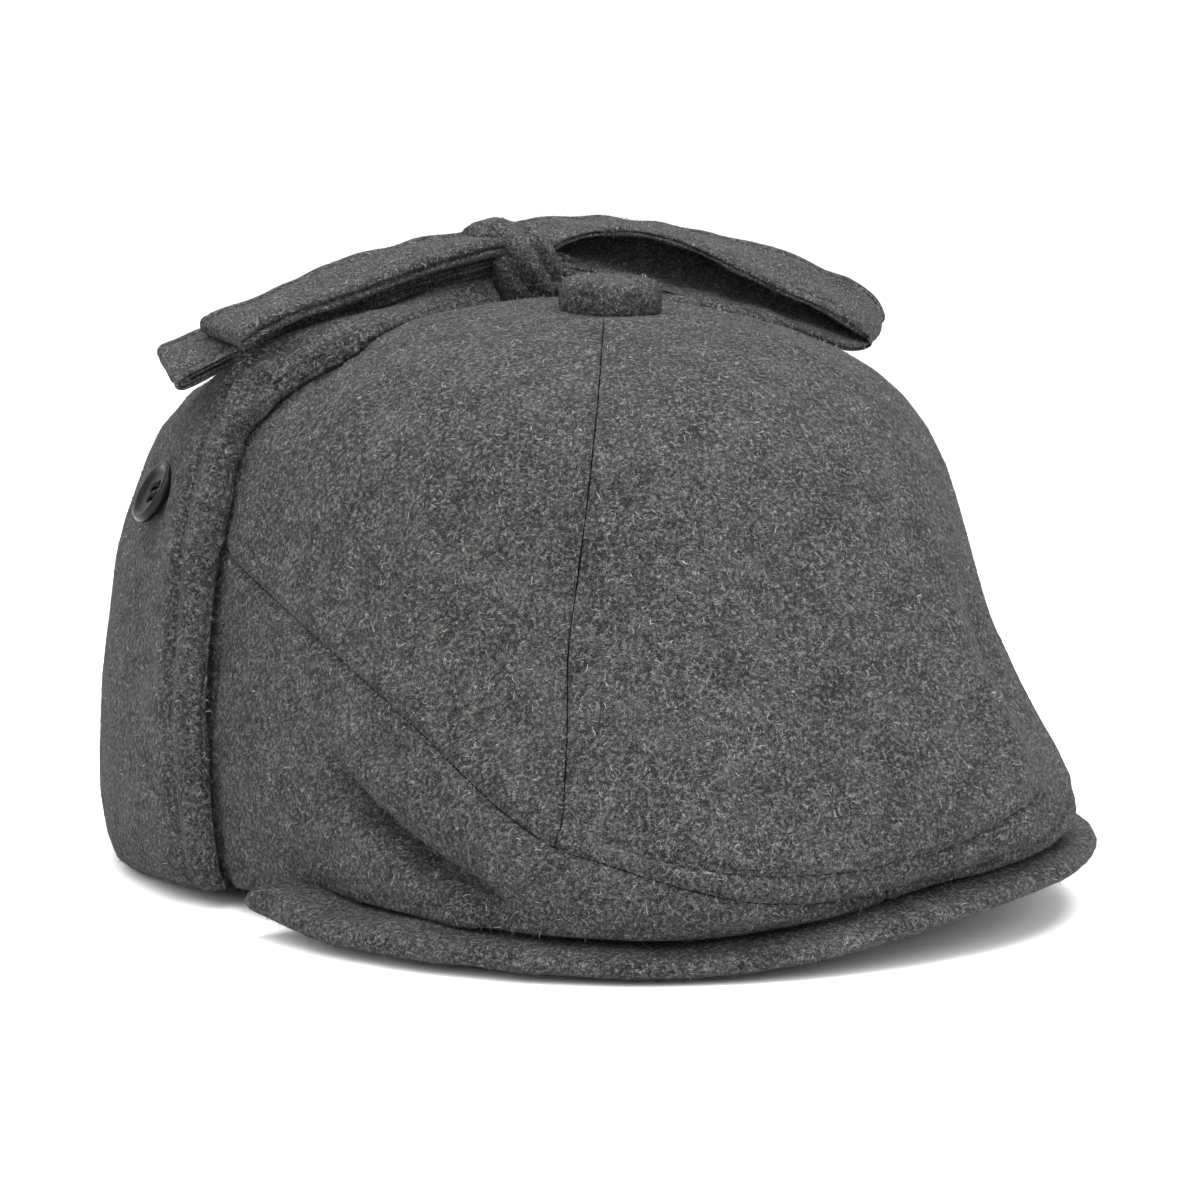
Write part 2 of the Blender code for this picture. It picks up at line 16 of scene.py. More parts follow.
import bpy
import numpy as np
from mathutils import Matrix, Quaternion, Vector, noise
from mathutils.bvhtree import BVHTree
from mathutils.kdtree import KDTree

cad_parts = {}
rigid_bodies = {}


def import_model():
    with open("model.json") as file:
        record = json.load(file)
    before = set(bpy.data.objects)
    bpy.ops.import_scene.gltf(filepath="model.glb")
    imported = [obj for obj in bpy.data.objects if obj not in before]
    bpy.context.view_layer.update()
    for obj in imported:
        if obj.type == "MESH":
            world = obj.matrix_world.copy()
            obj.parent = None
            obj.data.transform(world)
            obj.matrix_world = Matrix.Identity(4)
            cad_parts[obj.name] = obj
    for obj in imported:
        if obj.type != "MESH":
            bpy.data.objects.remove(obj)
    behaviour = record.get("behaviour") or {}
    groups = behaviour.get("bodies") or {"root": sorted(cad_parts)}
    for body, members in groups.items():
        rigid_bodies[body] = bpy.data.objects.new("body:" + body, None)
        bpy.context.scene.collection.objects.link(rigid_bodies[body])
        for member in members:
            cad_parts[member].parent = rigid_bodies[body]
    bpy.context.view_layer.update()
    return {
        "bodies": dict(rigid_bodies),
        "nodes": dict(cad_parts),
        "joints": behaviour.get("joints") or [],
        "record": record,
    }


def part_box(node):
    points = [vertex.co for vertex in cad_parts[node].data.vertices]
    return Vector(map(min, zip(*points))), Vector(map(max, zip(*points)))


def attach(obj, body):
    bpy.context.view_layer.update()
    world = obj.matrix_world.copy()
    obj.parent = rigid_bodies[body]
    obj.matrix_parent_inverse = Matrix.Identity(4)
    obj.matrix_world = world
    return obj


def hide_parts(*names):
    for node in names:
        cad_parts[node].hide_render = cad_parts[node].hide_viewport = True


log = logging.getLogger("ear_flap_cap")

MM = 0.001
HOLLOW = (0.0, 0.0, 0.045)  # a place in the hollow of the head
LINE_REACH_MM = 30.0  # how far from a line a place may be and still be compared with it
HAIR_OFF_FLOOR_MM = 0.2
Points = list[tuple[float, float, float]]

# Lines on the wearer's right half of the crown and on its flap, in millimetres
PANEL_SEAM = [
    (-10.6, -26.1, 128.1), (-20.0, -40.6, 124.5), (-31.7, -58.2, 114.5), (-40.7, -69.8, 99.1),
    (-46.5, -75.4, 83.2), (-52.3, -80.2, 65.4), (-56.6, -86.9, 47.8), (-62.1, -94.2, 32.8),
    (-64.1, -94.7, 27.9),
]
FRONT_SEAM = [
    (-84.0, 18.0, 79.5), (-83.8, 10.1, 76.6), (-83.7, -5.3, 71.3), (-83.0, -20.1, 65.8),
    (-80.7, -38.0, 58.1), (-77.3, -53.6, 50.3), (-74.4, -69.6, 42.2), (-70.5, -83.4, 34.0),
    (-64.2, -94.9, 27.3), (-58.1, -102.5, 25.0), (-50.5, -109.5, 21.9), (-41.6, -114.4, 18.9),
    (-29.5, -118.2, 16.1), (-7.4, -118.2, 14.9), (6.1, -116.8, 15.4), (19.3, -116.0, 16.9),
    (32.7, -115.2, 19.5), (50.2, -109.2, 22.3), (60.5, -101.0, 25.6), (65.5, -93.5, 28.5),
    (71.0, -82.0, 34.5), (74.8, -69.0, 42.5), (77.6, -53.0, 50.6), (81.0, -37.5, 58.4),
    (83.2, -20.0, 66.0), (84.0, -5.0, 71.5), (84.2, 10.0, 76.8), (84.2, 18.0, 79.6),
]
DEEP_FOLD = [
    (-84.8, -31.2, 42.1), (-83.9, -37.1, 37.3), (-81.8, -46.4, 31.6), (-79.4, -57.2, 26.2),
    (-76.3, -68.7, 21.4), (-73.3, -80.0, 17.1), (-69.7, -88.1, 12.2),
]
SMALL_FOLDS = [  # depth, width and points
    (2.6, 3.2, [(-80.5, -47.1, 43.3), (-78.6, -55.8, 43.7), (-76.1, -62.1, 43.6)]),
    (1.9, 4.0, [(-67.7, -70.5, 51.8), (-64.7, -75.6, 50.7), (-61.7, -80.7, 48.5)]),
    (-1.0, 5.0, [(-43.1, -93.6, 56.0), (-43.1, -99.4, 47.4), (-43.8, -104.5, 38.9)]),
    (-2.4, 4.6, [(33.8, -92.9, 71.3), (33.4, -100.1, 61.6), (35.8, -105.0, 51.2),
                 (39.4, -109.9, 41.9), (44.2, -111.7, 33.2)]),
    (2.8, 4.8, [(45.0, -84.0, 71.3), (45.4, -92.1, 61.6), (47.8, -97.0, 51.2),
                (50.4, -101.9, 41.9)]),
]
TOP_STITCH = [
    (-57.1, -100.8, 29.6), (-49.5, -107.9, 26.3), (-39.1, -114.5, 23.2), (-26.5, -118.7, 21.4),
    (-17.8, -119.9, 21.0), (-8.9, -120.4, 20.8), (0.3, -120.4, 21.2), (11.2, -120.2, 22.6),
    (22.0, -119.4, 24.4), (33.2, -117.3, 27.5), (46.0, -112.5, 31.0),
]
FRONT_JOINT = [(2.8, -117.5, 15.2), (3.3, -116.6, 12.6), (3.8, -115.4, 10.5)]
FLAP_EDGE = [
    (-89.6, 5.9, 2.0), (-91.8, 5.8, 7.0), (-93.8, 5.6, 15.5), (-94.3, 7.4, 28.8),
    (-93.5, 10.0, 44.0), (-91.0, 12.3, 60.3), (-88.3, 14.0, 76.4), (-85.0, 13.6, 91.9),
    (-80.9, 15.0, 103.1), (-74.5, 13.2, 110.8), (-68.5, 10.5, 115.8), (-62.0, 8.5, 119.0),
    (-52.0, 8.0, 123.0), (-42.0, 10.5, 125.8), (-30.9, 16.0, 128.8), (-19.6, 20.5, 130.2),
    (-8.5, 22.5, 131.0),
]
FLAP_GROOVE = [
    (-94.5, 13.5, 4.0), (-96.3, 14.0, 18.0), (-96.4, 15.0, 34.0), (-95.3, 18.3, 52.2),
    (-92.6, 20.9, 68.0), (-89.8, 21.3, 82.7), (-86.5, 21.5, 93.7), (-80.8, 22.5, 105.5),
    (-73.0, 19.5, 113.5), (-64.0, 16.5, 119.5),
]

# Over the top: how far out, where the tie's front edge runs and how high its ridge is
TIE_LINES = [
    (2.0, 23.5, 139.0), (8.5, 22.5, 138.0), (11.1, 22.0, 137.2), (25.0, 19.0, 133.4),
    (43.6, 10.0, 128.7), (54.0, 8.0, 125.8), (64.2, 9.0, 122.5), (70.3, 11.5, 119.6),
    (75.0, 13.0, 116.0),
]

# The edges of the bow's ribbons and the knot's folds, as the photograph shows them, each at a
# chosen depth. A loop runs out along its upper layer and back along its lower one.
TAIL_RIGHT_FRONT = [
    (-3.0, 23.5, 143.6), (-11.1, 22.0, 143.4), (-18.6, 21.5, 141.7), (-31.9, 20.0, 139.0),
    (-44.9, 18.5, 136.0), (-57.8, 17.0, 132.7), (-70.3, 16.0, 129.2), (-79.1, 15.0, 125.1),
]
TAIL_RIGHT_BACK = [
    (-3.0, 42.0, 145.2), (-20.1, 41.0, 143.0), (-33.2, 40.0, 140.7), (-46.1, 39.0, 137.9),
    (-58.8, 38.0, 133.9), (-71.4, 37.0, 130.1), (-78.5, 36.0, 127.7),
]
TAIL_LEFT_FRONT = [
    (4.0, 37.0, 144.4), (15.0, 39.0, 143.6), (30.0, 42.0, 140.6), (45.0, 46.0, 136.0),
    (58.0, 50.0, 130.0), (68.0, 53.0, 124.0),
]
TAIL_LEFT_BACK = [
    (4.0, 50.0, 144.8), (15.0, 57.0, 142.6), (30.0, 64.0, 138.4), (45.0, 69.0, 132.8),
    (58.0, 73.0, 126.0), (68.0, 75.5, 119.5),
]
LOOP_RIGHT_FRONT = [
    (-4.0, 25.0, 140.0), (-20.0, 24.5, 137.0), (-40.0, 24.0, 132.6), (-56.0, 23.0, 128.4),
    (-70.0, 22.0, 123.8), (-84.0, 21.3, 118.6), (-90.6, 21.0, 115.9), (-91.6, 21.0, 114.3),
    (-90.2, 21.2, 112.9), (-84.0, 22.0, 114.6), (-70.0, 23.0, 119.9), (-56.0, 24.0, 124.6),
    (-40.0, 25.0, 128.9), (-20.0, 26.0, 133.3), (-4.0, 27.0, 136.0),
]
LOOP_RIGHT_BACK = [
    (-4.0, 44.0, 140.4), (-20.0, 44.0, 138.2), (-40.0, 44.0, 134.4), (-56.2, 44.0, 130.7),
    (-66.0, 44.0, 127.6), (-76.0, 44.0, 124.0), (-83.4, 44.0, 121.5), (-84.6, 44.0, 119.9),
    (-83.2, 44.0, 118.5), (-76.0, 44.5, 120.2), (-66.0, 45.0, 123.8), (-56.0, 45.5, 126.9),
    (-40.0, 46.0, 130.6), (-20.0, 46.5, 134.4), (-4.0, 47.0, 136.4),
]
LOOP_LEFT_FRONT = [
    (2.5, 24.6, 140.6), (5.2, 24.0, 141.9), (10.2, 22.5, 144.0), (16.7, 21.0, 145.3),
    (25.4, 19.0, 145.4), (33.3, 17.5, 143.8), (39.0, 16.5, 141.8), (45.6, 15.0, 138.7),
    (55.9, 13.0, 133.7), (64.6, 11.5, 129.7), (73.3, 10.0, 125.7), (79.2, 9.0, 122.3),
    (82.9, 8.6, 119.6), (84.2, 8.5, 117.4), (82.6, 8.5, 115.5), (75.7, 9.5, 115.8),
    (63.3, 11.5, 120.3), (50.2, 14.0, 124.9), (33.0, 17.0, 129.4), (22.3, 20.0, 132.4),
    (14.8, 22.0, 134.4), (4.0, 24.0, 136.4),
]
LOOP_LEFT_BACK = [
    (2.5, 43.5, 145.4), (5.5, 44.0, 146.5), (15.9, 42.5, 147.4), (27.9, 40.5, 147.6),
    (35.6, 39.5, 146.7), (44.9, 38.0, 145.2), (55.2, 36.0, 143.1), (66.3, 34.0, 140.4),
    (76.1, 32.0, 137.4), (84.1, 30.0, 134.0), (92.4, 28.5, 130.5), (97.8, 27.5, 127.0),
    (100.6, 27.0, 123.6), (101.0, 27.0, 121.2), (98.8, 27.2, 120.4), (90.0, 29.0, 127.0),
    (78.0, 31.5, 133.2), (62.0, 35.0, 138.8), (44.0, 38.0, 142.4), (30.0, 40.0, 144.4),
    (18.0, 42.0, 144.6), (4.0, 44.0, 143.4),
]
LOBE_FRONT = [(0.0, 22.0, 131.0), (6.0, 20.6, 131.6), (11.5, 20.4, 132.4), (16.5, 21.6, 134.0)]
LOBE_BACK = [(0.0, 27.0, 142.0), (6.0, 26.0, 141.4), (11.5, 26.0, 139.8), (16.5, 27.0, 137.8)]
KNOT_FOLD_LOW = [(-3.7, 35.5, 146.9), (-6.9, 26.4, 142.2), (-5.4, 24.6, 136.6), (-2.0, 24.9, 131.4)]
KNOT_FOLD_HIGH = [(3.6, 34.6, 147.0), (1.4, 25.4, 143.1), (2.8, 24.1, 137.5), (4.8, 25.3, 131.6)]

# The flap button's profile from its middle: shares of the radius and of the thickness
BUTTON_PROFILE = [
    (0.0, 0.0), (0.80, 0.0), (0.93, 0.12), (0.99, 0.36), (1.0, 0.55), (0.985, 0.80),
    (0.94, 0.95), (0.88, 1.0), (0.81, 0.96), (0.76, 0.86), (0.71, 0.74), (0.62, 0.66),
    (0.45, 0.61), (0.0, 0.60),
]


def linear(code: str, alpha: float = 1.0) -> tuple[float, float, float, float]:
    """Turns an sRGB hex colour into linear values.

    Args:
        code: Six hex digits, with or without a leading hash.
        alpha: The fourth value.

    Returns:
        Linear red, green, blue and alpha.
    """
    digits = code.lstrip("#")
    values = [int(digits[i:i + 2], 16) / 255.0 for i in (0, 2, 4)]
    red, green, blue = (v / 12.92 if v <= 0.04045 else ((v + 0.055) / 1.055) ** 2.4 for v in values)
    return red, green, blue, alpha


def node(tree: bpy.types.NodeTree, kind: str, sockets: dict | None = None,
         stops: list[tuple[float, tuple]] | None = None, **settings: object) -> bpy.types.Node:
    """Adds one node with its settings and links.

    Args:
        tree: The node tree that gets the node.
        kind: The node's type name.
        sockets: Input name or number to a value, or to the output socket that feeds it.
        stops: Where the node is a colour ramp, its places and colours in order.
        **settings: The node's own properties.

    Returns:
        The new node.
    """
    made = tree.nodes.new(kind)
    for name, value in settings.items():
        setattr(made, name, value)
    for name, value in (sockets or {}).items():
        if isinstance(value, bpy.types.NodeSocket):
            tree.links.new(value, made.inputs[name])
        else:
            made.inputs[name].default_value = value
    if stops:
        elements = made.color_ramp.elements
        while len(elements) < len(stops):
            elements.new(0.5)
        for element, (place, color) in zip(elements, stops):
            element.position = place
            element.color = color
    return made


def blank(name: str, values: dict[str, float | tuple]) -> bpy.types.Material:
    """Makes a material with nothing linked yet.

    Args:
        name: The material's name.
        values: What its shader's own inputs are set to.

    Returns:
        The material.
    """
    made = bpy.data.materials.new(name)
    made.use_nodes = True
    for socket, value in values.items():
        made.node_tree.nodes["Principled BSDF"].inputs[socket].default_value = value
    return made


def link_up(made: bpy.types.Material, sources: dict[str, bpy.types.NodeSocket],
            height: bpy.types.NodeSocket | None = None, strength: float = 1.0,
            relief_mm: float = 0.0) -> bpy.types.Material:
    """Links a material's drawn colour and relief to its shader.

    Args:
        made: The material.
        sources: The shader's input names and what feeds each.
        height: The height of its relief, if it has any.
        strength: How much of the relief shows.
        relief_mm: The relief's depth.

    Returns:
        The same material.
    """
    tree = made.node_tree
    if height is not None:
        sources["Normal"] = node(tree, "ShaderNodeBump", {
            "Strength": strength, "Distance": relief_mm * MM, "Height": height}).outputs["Normal"]
    for name, source in sources.items():
        tree.links.new(source, tree.nodes["Principled BSDF"].inputs[name])
    return made


class Side(Enum):
    """The wearer's two sides."""

    RIGHT = "right"
    LEFT = "left"

    def of(self, points: Points) -> Points:
        """Points of the wearer's right half, as they lie on this side."""
        return points if self is Side.RIGHT else mirrored(points)


@dataclass(frozen=True)
class WoolMelton:
    """Heathered wool melton: dark and light fibres felted together, matt and softly fuzzy.

    Its eye-catchers are single pale fibres a couple of millimetres long over a body of
    dark ones, and soft blotches where the blend is uneven. A real fibre is 0.03 mm thick and
    is drawn coarser, so that it shows.
    """

    name: str
    dark: str = "08090a"
    body: str = "1e1f20"
    light: str = "515254"
    pale: str = "8f8b85"
    fleck: str = "8a764b"
    grain_mm: float = 0.24
    fibre_mm: float = 0.48
    fibre_length: float = 2.5
    pale_width: float = 0.036
    dark_width: float = 0.045
    clump_mm: float = 1.5
    blotch_mm: float = 9.0
    curl_mm: float = 6.0
    fleck_apart_mm: float = 9.0
    fleck_share: float = 0.07
    relief_mm: float = 0.25

    def _noise(self, tree: bpy.types.NodeTree, place: bpy.types.NodeSocket, period_mm: float,
               detail: float, turn: float) -> bpy.types.NodeSocket:
        """Draws an even noise.

        Args:
            tree: The material's nodes.
            place: Where on the piece it is drawn.
            period_mm: The size of its spots.
            detail: How many finer noises it has.
            turn: How far it is turned, so that two noises don't match.

        Returns:
            The noise, from -0.5 to 0.5.
        """
        made = node(tree, "ShaderNodeTexNoise", {
            "Vector": node(tree, "ShaderNodeMapping", {
                "Vector": place, "Rotation": (turn, 0.7 * turn, 1.3 * turn)}).outputs[0],
            "Scale": 1.0 / (period_mm * MM), "Detail": detail, "Roughness": 0.62})
        return node(tree, "ShaderNodeMath", {0: made.outputs["Fac"], 1: 0.5},
                    operation="SUBTRACT").outputs[0]

    def _fibres(self, tree: bpy.types.NodeTree, place: bpy.types.NodeSocket,
                turn: tuple[float, float, float], width: float) -> bpy.types.NodeSocket:
        """Draws thin curling lines, from the level lines of a drawn-out noise.

        Args:
            tree: The material's nodes.
            place: Where on the piece they are drawn.
            turn: Which way they lie.
            width: Their width, as a share of the noise's range.

        Returns:
            1 on a line and 0 beside it.
        """
        scale = 1.0 / (self.fibre_mm * MM)
        laid = node(tree, "ShaderNodeMapping", {
            "Vector": place, "Rotation": turn,
            "Scale": (scale / self.fibre_length, scale, scale)})
        grain = node(tree, "ShaderNodeTexNoise", {
            "Vector": laid.outputs["Vector"], "Scale": 1.0, "Detail": 1.0, "Roughness": 0.5,
            "Distortion": 0.7})
        middle = node(tree, "ShaderNodeMath", {0: grain.outputs["Fac"], 1: 0.5},
                      operation="SUBTRACT")
        apart = node(tree, "ShaderNodeMath", {0: middle.outputs[0]}, operation="ABSOLUTE")
        return node(tree, "ShaderNodeMapRange", {
            "Value": apart.outputs[0], "From Min": 0.0, "From Max": width,
            "To Min": 1.0, "To Max": 0.0}, interpolation_type="SMOOTHSTEP").outputs[0]

    def _largest(self, tree: bpy.types.NodeTree, place: bpy.types.NodeSocket,
                 turns: list[tuple[float, float, float]], width: float) -> bpy.types.NodeSocket:
        """Lays several sets of fibres over each other.

        Args:
            tree: The material's nodes.
            place: Where on the piece they are drawn.
            turns: Which way each set lies.
            width: Their width, as a share of the noise's range.

        Returns:
            1 on any fibre and 0 beside them.
        """
        best = self._fibres(tree, place, turns[0], width)
        for turn in turns[1:]:
            best = node(tree, "ShaderNodeMath", {
                0: best, 1: self._fibres(tree, place, turn, width)},
                operation="MAXIMUM").outputs[0]
        return best

    def _total(self, tree: bpy.types.NodeTree, start: float,
               parts: list[tuple[bpy.types.NodeSocket, float]]) -> bpy.types.NodeSocket:
        """Adds up noises and lines.

        Args:
            tree: The material's nodes.
            start: What the sum starts from.
            parts: Each part and its weight.

        Returns:
            The start value plus each part times its weight.
        """
        total: bpy.types.NodeSocket | float = start
        for value, weight in parts:
            total = node(tree, "ShaderNodeMath", {0: value, 1: weight, 2: total},
                         operation="MULTIPLY_ADD").outputs[0]
        return total

    def _laid_over(self, tree: bpy.types.NodeTree, under: bpy.types.NodeSocket,
                   share: bpy.types.NodeSocket, weight: float,
                   color: str) -> bpy.types.NodeSocket:
        """Lays a colour over another.

        Args:
            tree: The material's nodes.
            under: The colour below.
            share: Where it is laid, from 0 to 1.
            weight: How much it covers there.
            color: The colour on top.

        Returns:
            The mixed colour.
        """
        return node(tree, "ShaderNodeMix", {
            "Factor": self._total(tree, 0.0, [(share, weight)]), 6: under, 7: linear(color)},
            data_type="RGBA").outputs[2]

    def _flecks(self, tree: bpy.types.NodeTree,
                place: bpy.types.NodeSocket) -> bpy.types.NodeSocket:
        """Draws the rare specks of a warmer colour.

        Args:
            tree: The material's nodes.
            place: Where on the piece they are drawn.

        Returns:
            1 on a speck and 0 beside it.
        """
        speck = node(tree, "ShaderNodeTexVoronoi", {
            "Vector": place, "Scale": 1.0 / (self.fleck_apart_mm * MM)}).outputs
        spot = node(tree, "ShaderNodeMapRange", {
            "Value": speck["Distance"], "From Min": 0.02, "From Max": 0.05,
            "To Min": 1.0, "To Max": 0.0}).outputs[0]
        chosen = node(tree, "ShaderNodeMath", {
            0: node(tree, "ShaderNodeSeparateColor", {0: speck["Color"]}).outputs[0],
            1: 1.0 - self.fleck_share}, operation="GREATER_THAN").outputs[0]
        return node(tree, "ShaderNodeMath", {0: spot, 1: chosen}, operation="MULTIPLY").outputs[0]

    def build(self) -> bpy.types.Material:
        """Makes the material.

        Returns:
            The finished material.
        """
        made = blank(self.name, {
            "Roughness": 0.95, "IOR": 1.45, "Specular IOR Level": 0.12, "Sheen Weight": 0.05,
            "Sheen Roughness": 0.5, "Sheen Tint": linear("c8c8ca")})
        tree = made.node_tree
        place = node(tree, "ShaderNodeTexCoord").outputs["Object"]
        drift = node(tree, "ShaderNodeVectorMath", {
            0: node(tree, "ShaderNodeTexNoise", {
                "Vector": place, "Scale": 1.0 / (self.curl_mm * MM),
                "Detail": 1.0}).outputs["Color"],
            1: (0.5, 0.5, 0.5)}, operation="SUBTRACT").outputs[0]
        curled = node(tree, "ShaderNodeVectorMath", {
            0: drift, 1: (self.curl_mm * MM * 1.2,) * 3, 2: place},
            operation="MULTIPLY_ADD").outputs[0]
        pale = self._largest(tree, curled, [(0.3, 0.2, 0.4), (1.3, 0.5, 1.5), (0.4, 1.7, 2.6)],
                             self.pale_width)
        dark = self._largest(tree, curled, [(2.1, 0.9, 0.2), (0.9, 2.4, 1.1)], self.dark_width)
        blotch = self._noise(tree, place, self.blotch_mm, 2.0, 0.4)
        clump = self._noise(tree, place, self.clump_mm, 2.0, 0.9)
        grain = self._noise(tree, place, self.grain_mm, 2.0, 1.7)
        seen = node(tree, "ShaderNodeMapRange", {
            "Value": self._noise(tree, place, self.clump_mm * 0.6, 1.0, 2.3),
            "From Min": -0.05, "From Max": 0.18}).outputs[0]
        shown = node(tree, "ShaderNodeMath", {0: pale, 1: seen}, operation="MULTIPLY").outputs[0]
        blend = self._total(tree, 0.5, [(blotch, 0.55), (clump, 0.60), (grain, 2.6)])
        color = node(tree, "ShaderNodeValToRGB", {"Fac": blend}, [
            (0.24, linear(self.dark)), (0.52, linear(self.body)),
            (0.86, linear(self.light))]).outputs["Color"]
        color = self._laid_over(tree, color, dark, 0.55, self.dark)
        color = self._laid_over(tree, color, shown, 0.75, self.pale)
        color = self._laid_over(tree, color, self._flecks(tree, place), 0.9, self.fleck)
        height = self._total(tree, 0.0, [(shown, 0.5), (grain, 1.0), (clump, 0.8), (dark, -0.4)])
        return link_up(made, {"Base Color": color}, height, 0.9, self.relief_mm)


@dataclass(frozen=True)
class LooseFibre:
    """Single wool hairs that stand off the felted face: most dark or grey, a few pale."""

    name: str = "loose_wool_fibre"

    def build(self) -> bpy.types.Material:
        """Makes the material, which reads each hair's own shade from an attribute.

        Returns:
            The finished material.
        """
        made = blank(self.name, {"Roughness": 0.75, "Specular IOR Level": 0.2})
        tree = made.node_tree
        shade = node(tree, "ShaderNodeAttribute", attribute_name="hair_shade").outputs["Fac"]
        color = node(tree, "ShaderNodeValToRGB", {"Fac": shade}, [
            (0.0, linear("060607")), (0.40, linear("19191b")), (0.70, linear("39393b")),
            (0.90, linear("787672")), (1.0, linear("a5a199"))]).outputs["Color"]
        return link_up(made, {"Base Color": color})


@dataclass(frozen=True)
class SewingThread:
    """Polyester sewing thread, close to black, with the slight gloss of its twisted plies and
    painted shade in the hollows between them.
    """

    name: str
    color: str = "17181a"
    hollow_shade_color: str = "0d0e0f"
    ply_mm: float = 0.35
    relief_mm: float = 0.05
    gloss: float = 0.12

    def build(self) -> bpy.types.Material:
        """Makes the material.

        Returns:
            The finished material.
        """
        made = blank(self.name, {"Roughness": 0.7, "Specular IOR Level": self.gloss})
        tree = made.node_tree
        place = node(tree, "ShaderNodeTexCoord").outputs["Object"]
        plies = node(tree, "ShaderNodeTexWave", {
            "Vector": place, "Scale": 1.0 / (self.ply_mm * MM * math.tau), "Distortion": 1.0},
            bands_direction="DIAGONAL").outputs["Fac"]
        # Painted shade: the hollows between the plies get the darker colour.
        color = node(tree, "ShaderNodeValToRGB", {"Fac": plies}, [
            (0.0, linear(self.hollow_shade_color)), (1.0, linear(self.color))]).outputs["Color"]
        return link_up(made, {"Base Color": color}, plies, 0.5, self.relief_mm)


@dataclass(frozen=True)
class PolyesterButton:
    """Cast polyester resin button, black, tumbled to a soft gloss with fine scuffs."""

    name: str = "cast_polyester_black"
    scuff_mm: float = 1.5
    relief_mm: float = 0.05

    def build(self) -> bpy.types.Material:
        """Makes the material.

        Returns:
            The finished material.
        """
        made = blank(self.name, {"IOR": 1.54, "Specular IOR Level": 0.12})
        tree = made.node_tree
        wear = node(tree, "ShaderNodeTexNoise", {
            "Vector": node(tree, "ShaderNodeTexCoord").outputs["Object"],
            "Scale": 1.0 / (self.scuff_mm * MM), "Detail": 6.0,
            "Roughness": 0.7}).outputs["Fac"]
        color = node(tree, "ShaderNodeValToRGB", {"Fac": wear}, [
            (0.35, linear("070708")), (0.75, linear("111113"))]).outputs["Color"]
        rough = node(tree, "ShaderNodeMapRange", {
            "Value": wear, "To Min": 0.22, "To Max": 0.40}).outputs[0]
        return link_up(made, {"Base Color": color, "Roughness": rough}, wear, 0.15,
                       self.relief_mm)


@dataclass(frozen=True)
class PaleFloor:
    """A matt white studio floor."""

    name: str = "matt_white_floor"

    def build(self) -> bpy.types.Material:
        """Makes the material."""
        return blank(self.name, {"Base Color": linear("f6f6f6"), "Roughness": 0.9,
                                 "Specular IOR Level": 0.1})


@dataclass
class Finishes:
    """The cap's finishes, made once."""

    wool: bpy.types.Material
    tie_wool: bpy.types.Material
    hair: bpy.types.Material
    # The seam tubes' near-black colour: painted shade in the seam grooves.
    seam: bpy.types.Material
    thread: bpy.types.Material
    button: bpy.types.Material

    @classmethod
    def make(cls) -> Finishes:
        """Makes every finish.

        Returns:
            The finishes.
        """
        return cls(
            wool=WoolMelton("wool_melton_charcoal").build(),
            tie_wool=WoolMelton("wool_melton_ties", clump_mm=1.1, blotch_mm=6.0).build(),
            hair=LooseFibre().build(),
            # Painted shade: a near-black, unglossy colour for the tubes laid in the seam grooves.
            seam=SewingThread("painted_seam_shadow", color="0a0a0b", gloss=0.0).build(),
            thread=SewingThread("sewing_thread_charcoal").build(),
            button=PolyesterButton().build())


@dataclass
class Cap:
    """What every part is made from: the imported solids, the finishes and the crown's cloth."""

    nodes: dict[str, bpy.types.Object]
    finishes: Finishes
    crown: bpy.types.Object | None = None


def deselect() -> None:
    """Leaves nothing selected and no edit mode open."""
    if bpy.context.object and bpy.context.object.mode != "OBJECT":
        bpy.ops.object.mode_set(mode="OBJECT")
    bpy.ops.object.select_all(action="DESELECT")


def pick_up(piece: bpy.types.Object) -> None:
    """Selects one object alone and makes it active."""
    deselect()
    piece.select_set(True)
    bpy.context.view_layer.objects.active = piece


@contextmanager
def editing(piece: bpy.types.Object) -> Iterator[None]:
    """Opens a piece in edit mode with all of it selected, and closes it again.

    Args:
        piece: The piece.

    Yields:
        Nothing: the operators inside act on the piece.
    """
    pick_up(piece)
    bpy.ops.object.mode_set(mode="EDIT")
    bpy.ops.mesh.select_all(action="SELECT")
    yield
    bpy.ops.object.mode_set(mode="OBJECT")


def apply_modifier(piece: bpy.types.Object, kind: str, **settings: object) -> None:
    """Adds a modifier and applies it.

    Args:
        piece: The piece that it works on.
        kind: The modifier's type name.
        **settings: The modifier's own properties.
    """
    pick_up(piece)
    modifier = piece.modifiers.new(kind.lower(), kind)
    for name, value in settings.items():
        setattr(modifier, name, value)
    bpy.ops.object.modifier_apply(modifier=modifier.name)


def new_piece(name: str, data: bpy.types.ID) -> bpy.types.Object:
    """Puts a new mesh, curve, light or camera into the scene as an object."""
    piece = bpy.data.objects.new(name, data)
    bpy.context.scene.collection.objects.link(piece)
    return piece


def new_tube(name: str, radius_mm: float, resolution: int) -> bpy.types.Curve:
    """Makes a curve that will be a round tube.

    Args:
        name: Its name.
        radius_mm: The tube's radius.
        resolution: How finely its round is divided.

    Returns:
        The curve, with no splines yet.
    """
    curve = bpy.data.curves.new(name, "CURVE")
    curve.dimensions = "3D"
    curve.bevel_depth = radius_mm * MM
    curve.bevel_resolution = resolution
    return curve


def as_mesh(curve: bpy.types.Curve) -> bpy.types.Object:
    """Turns a curve into a smooth mesh piece of the same name.

    Args:
        curve: The curve.

    Returns:
        The piece.
    """
    pick_up(new_piece(curve.name, curve))
    bpy.ops.object.convert(target="MESH")
    piece = bpy.context.object
    piece.data.shade_smooth()
    return piece


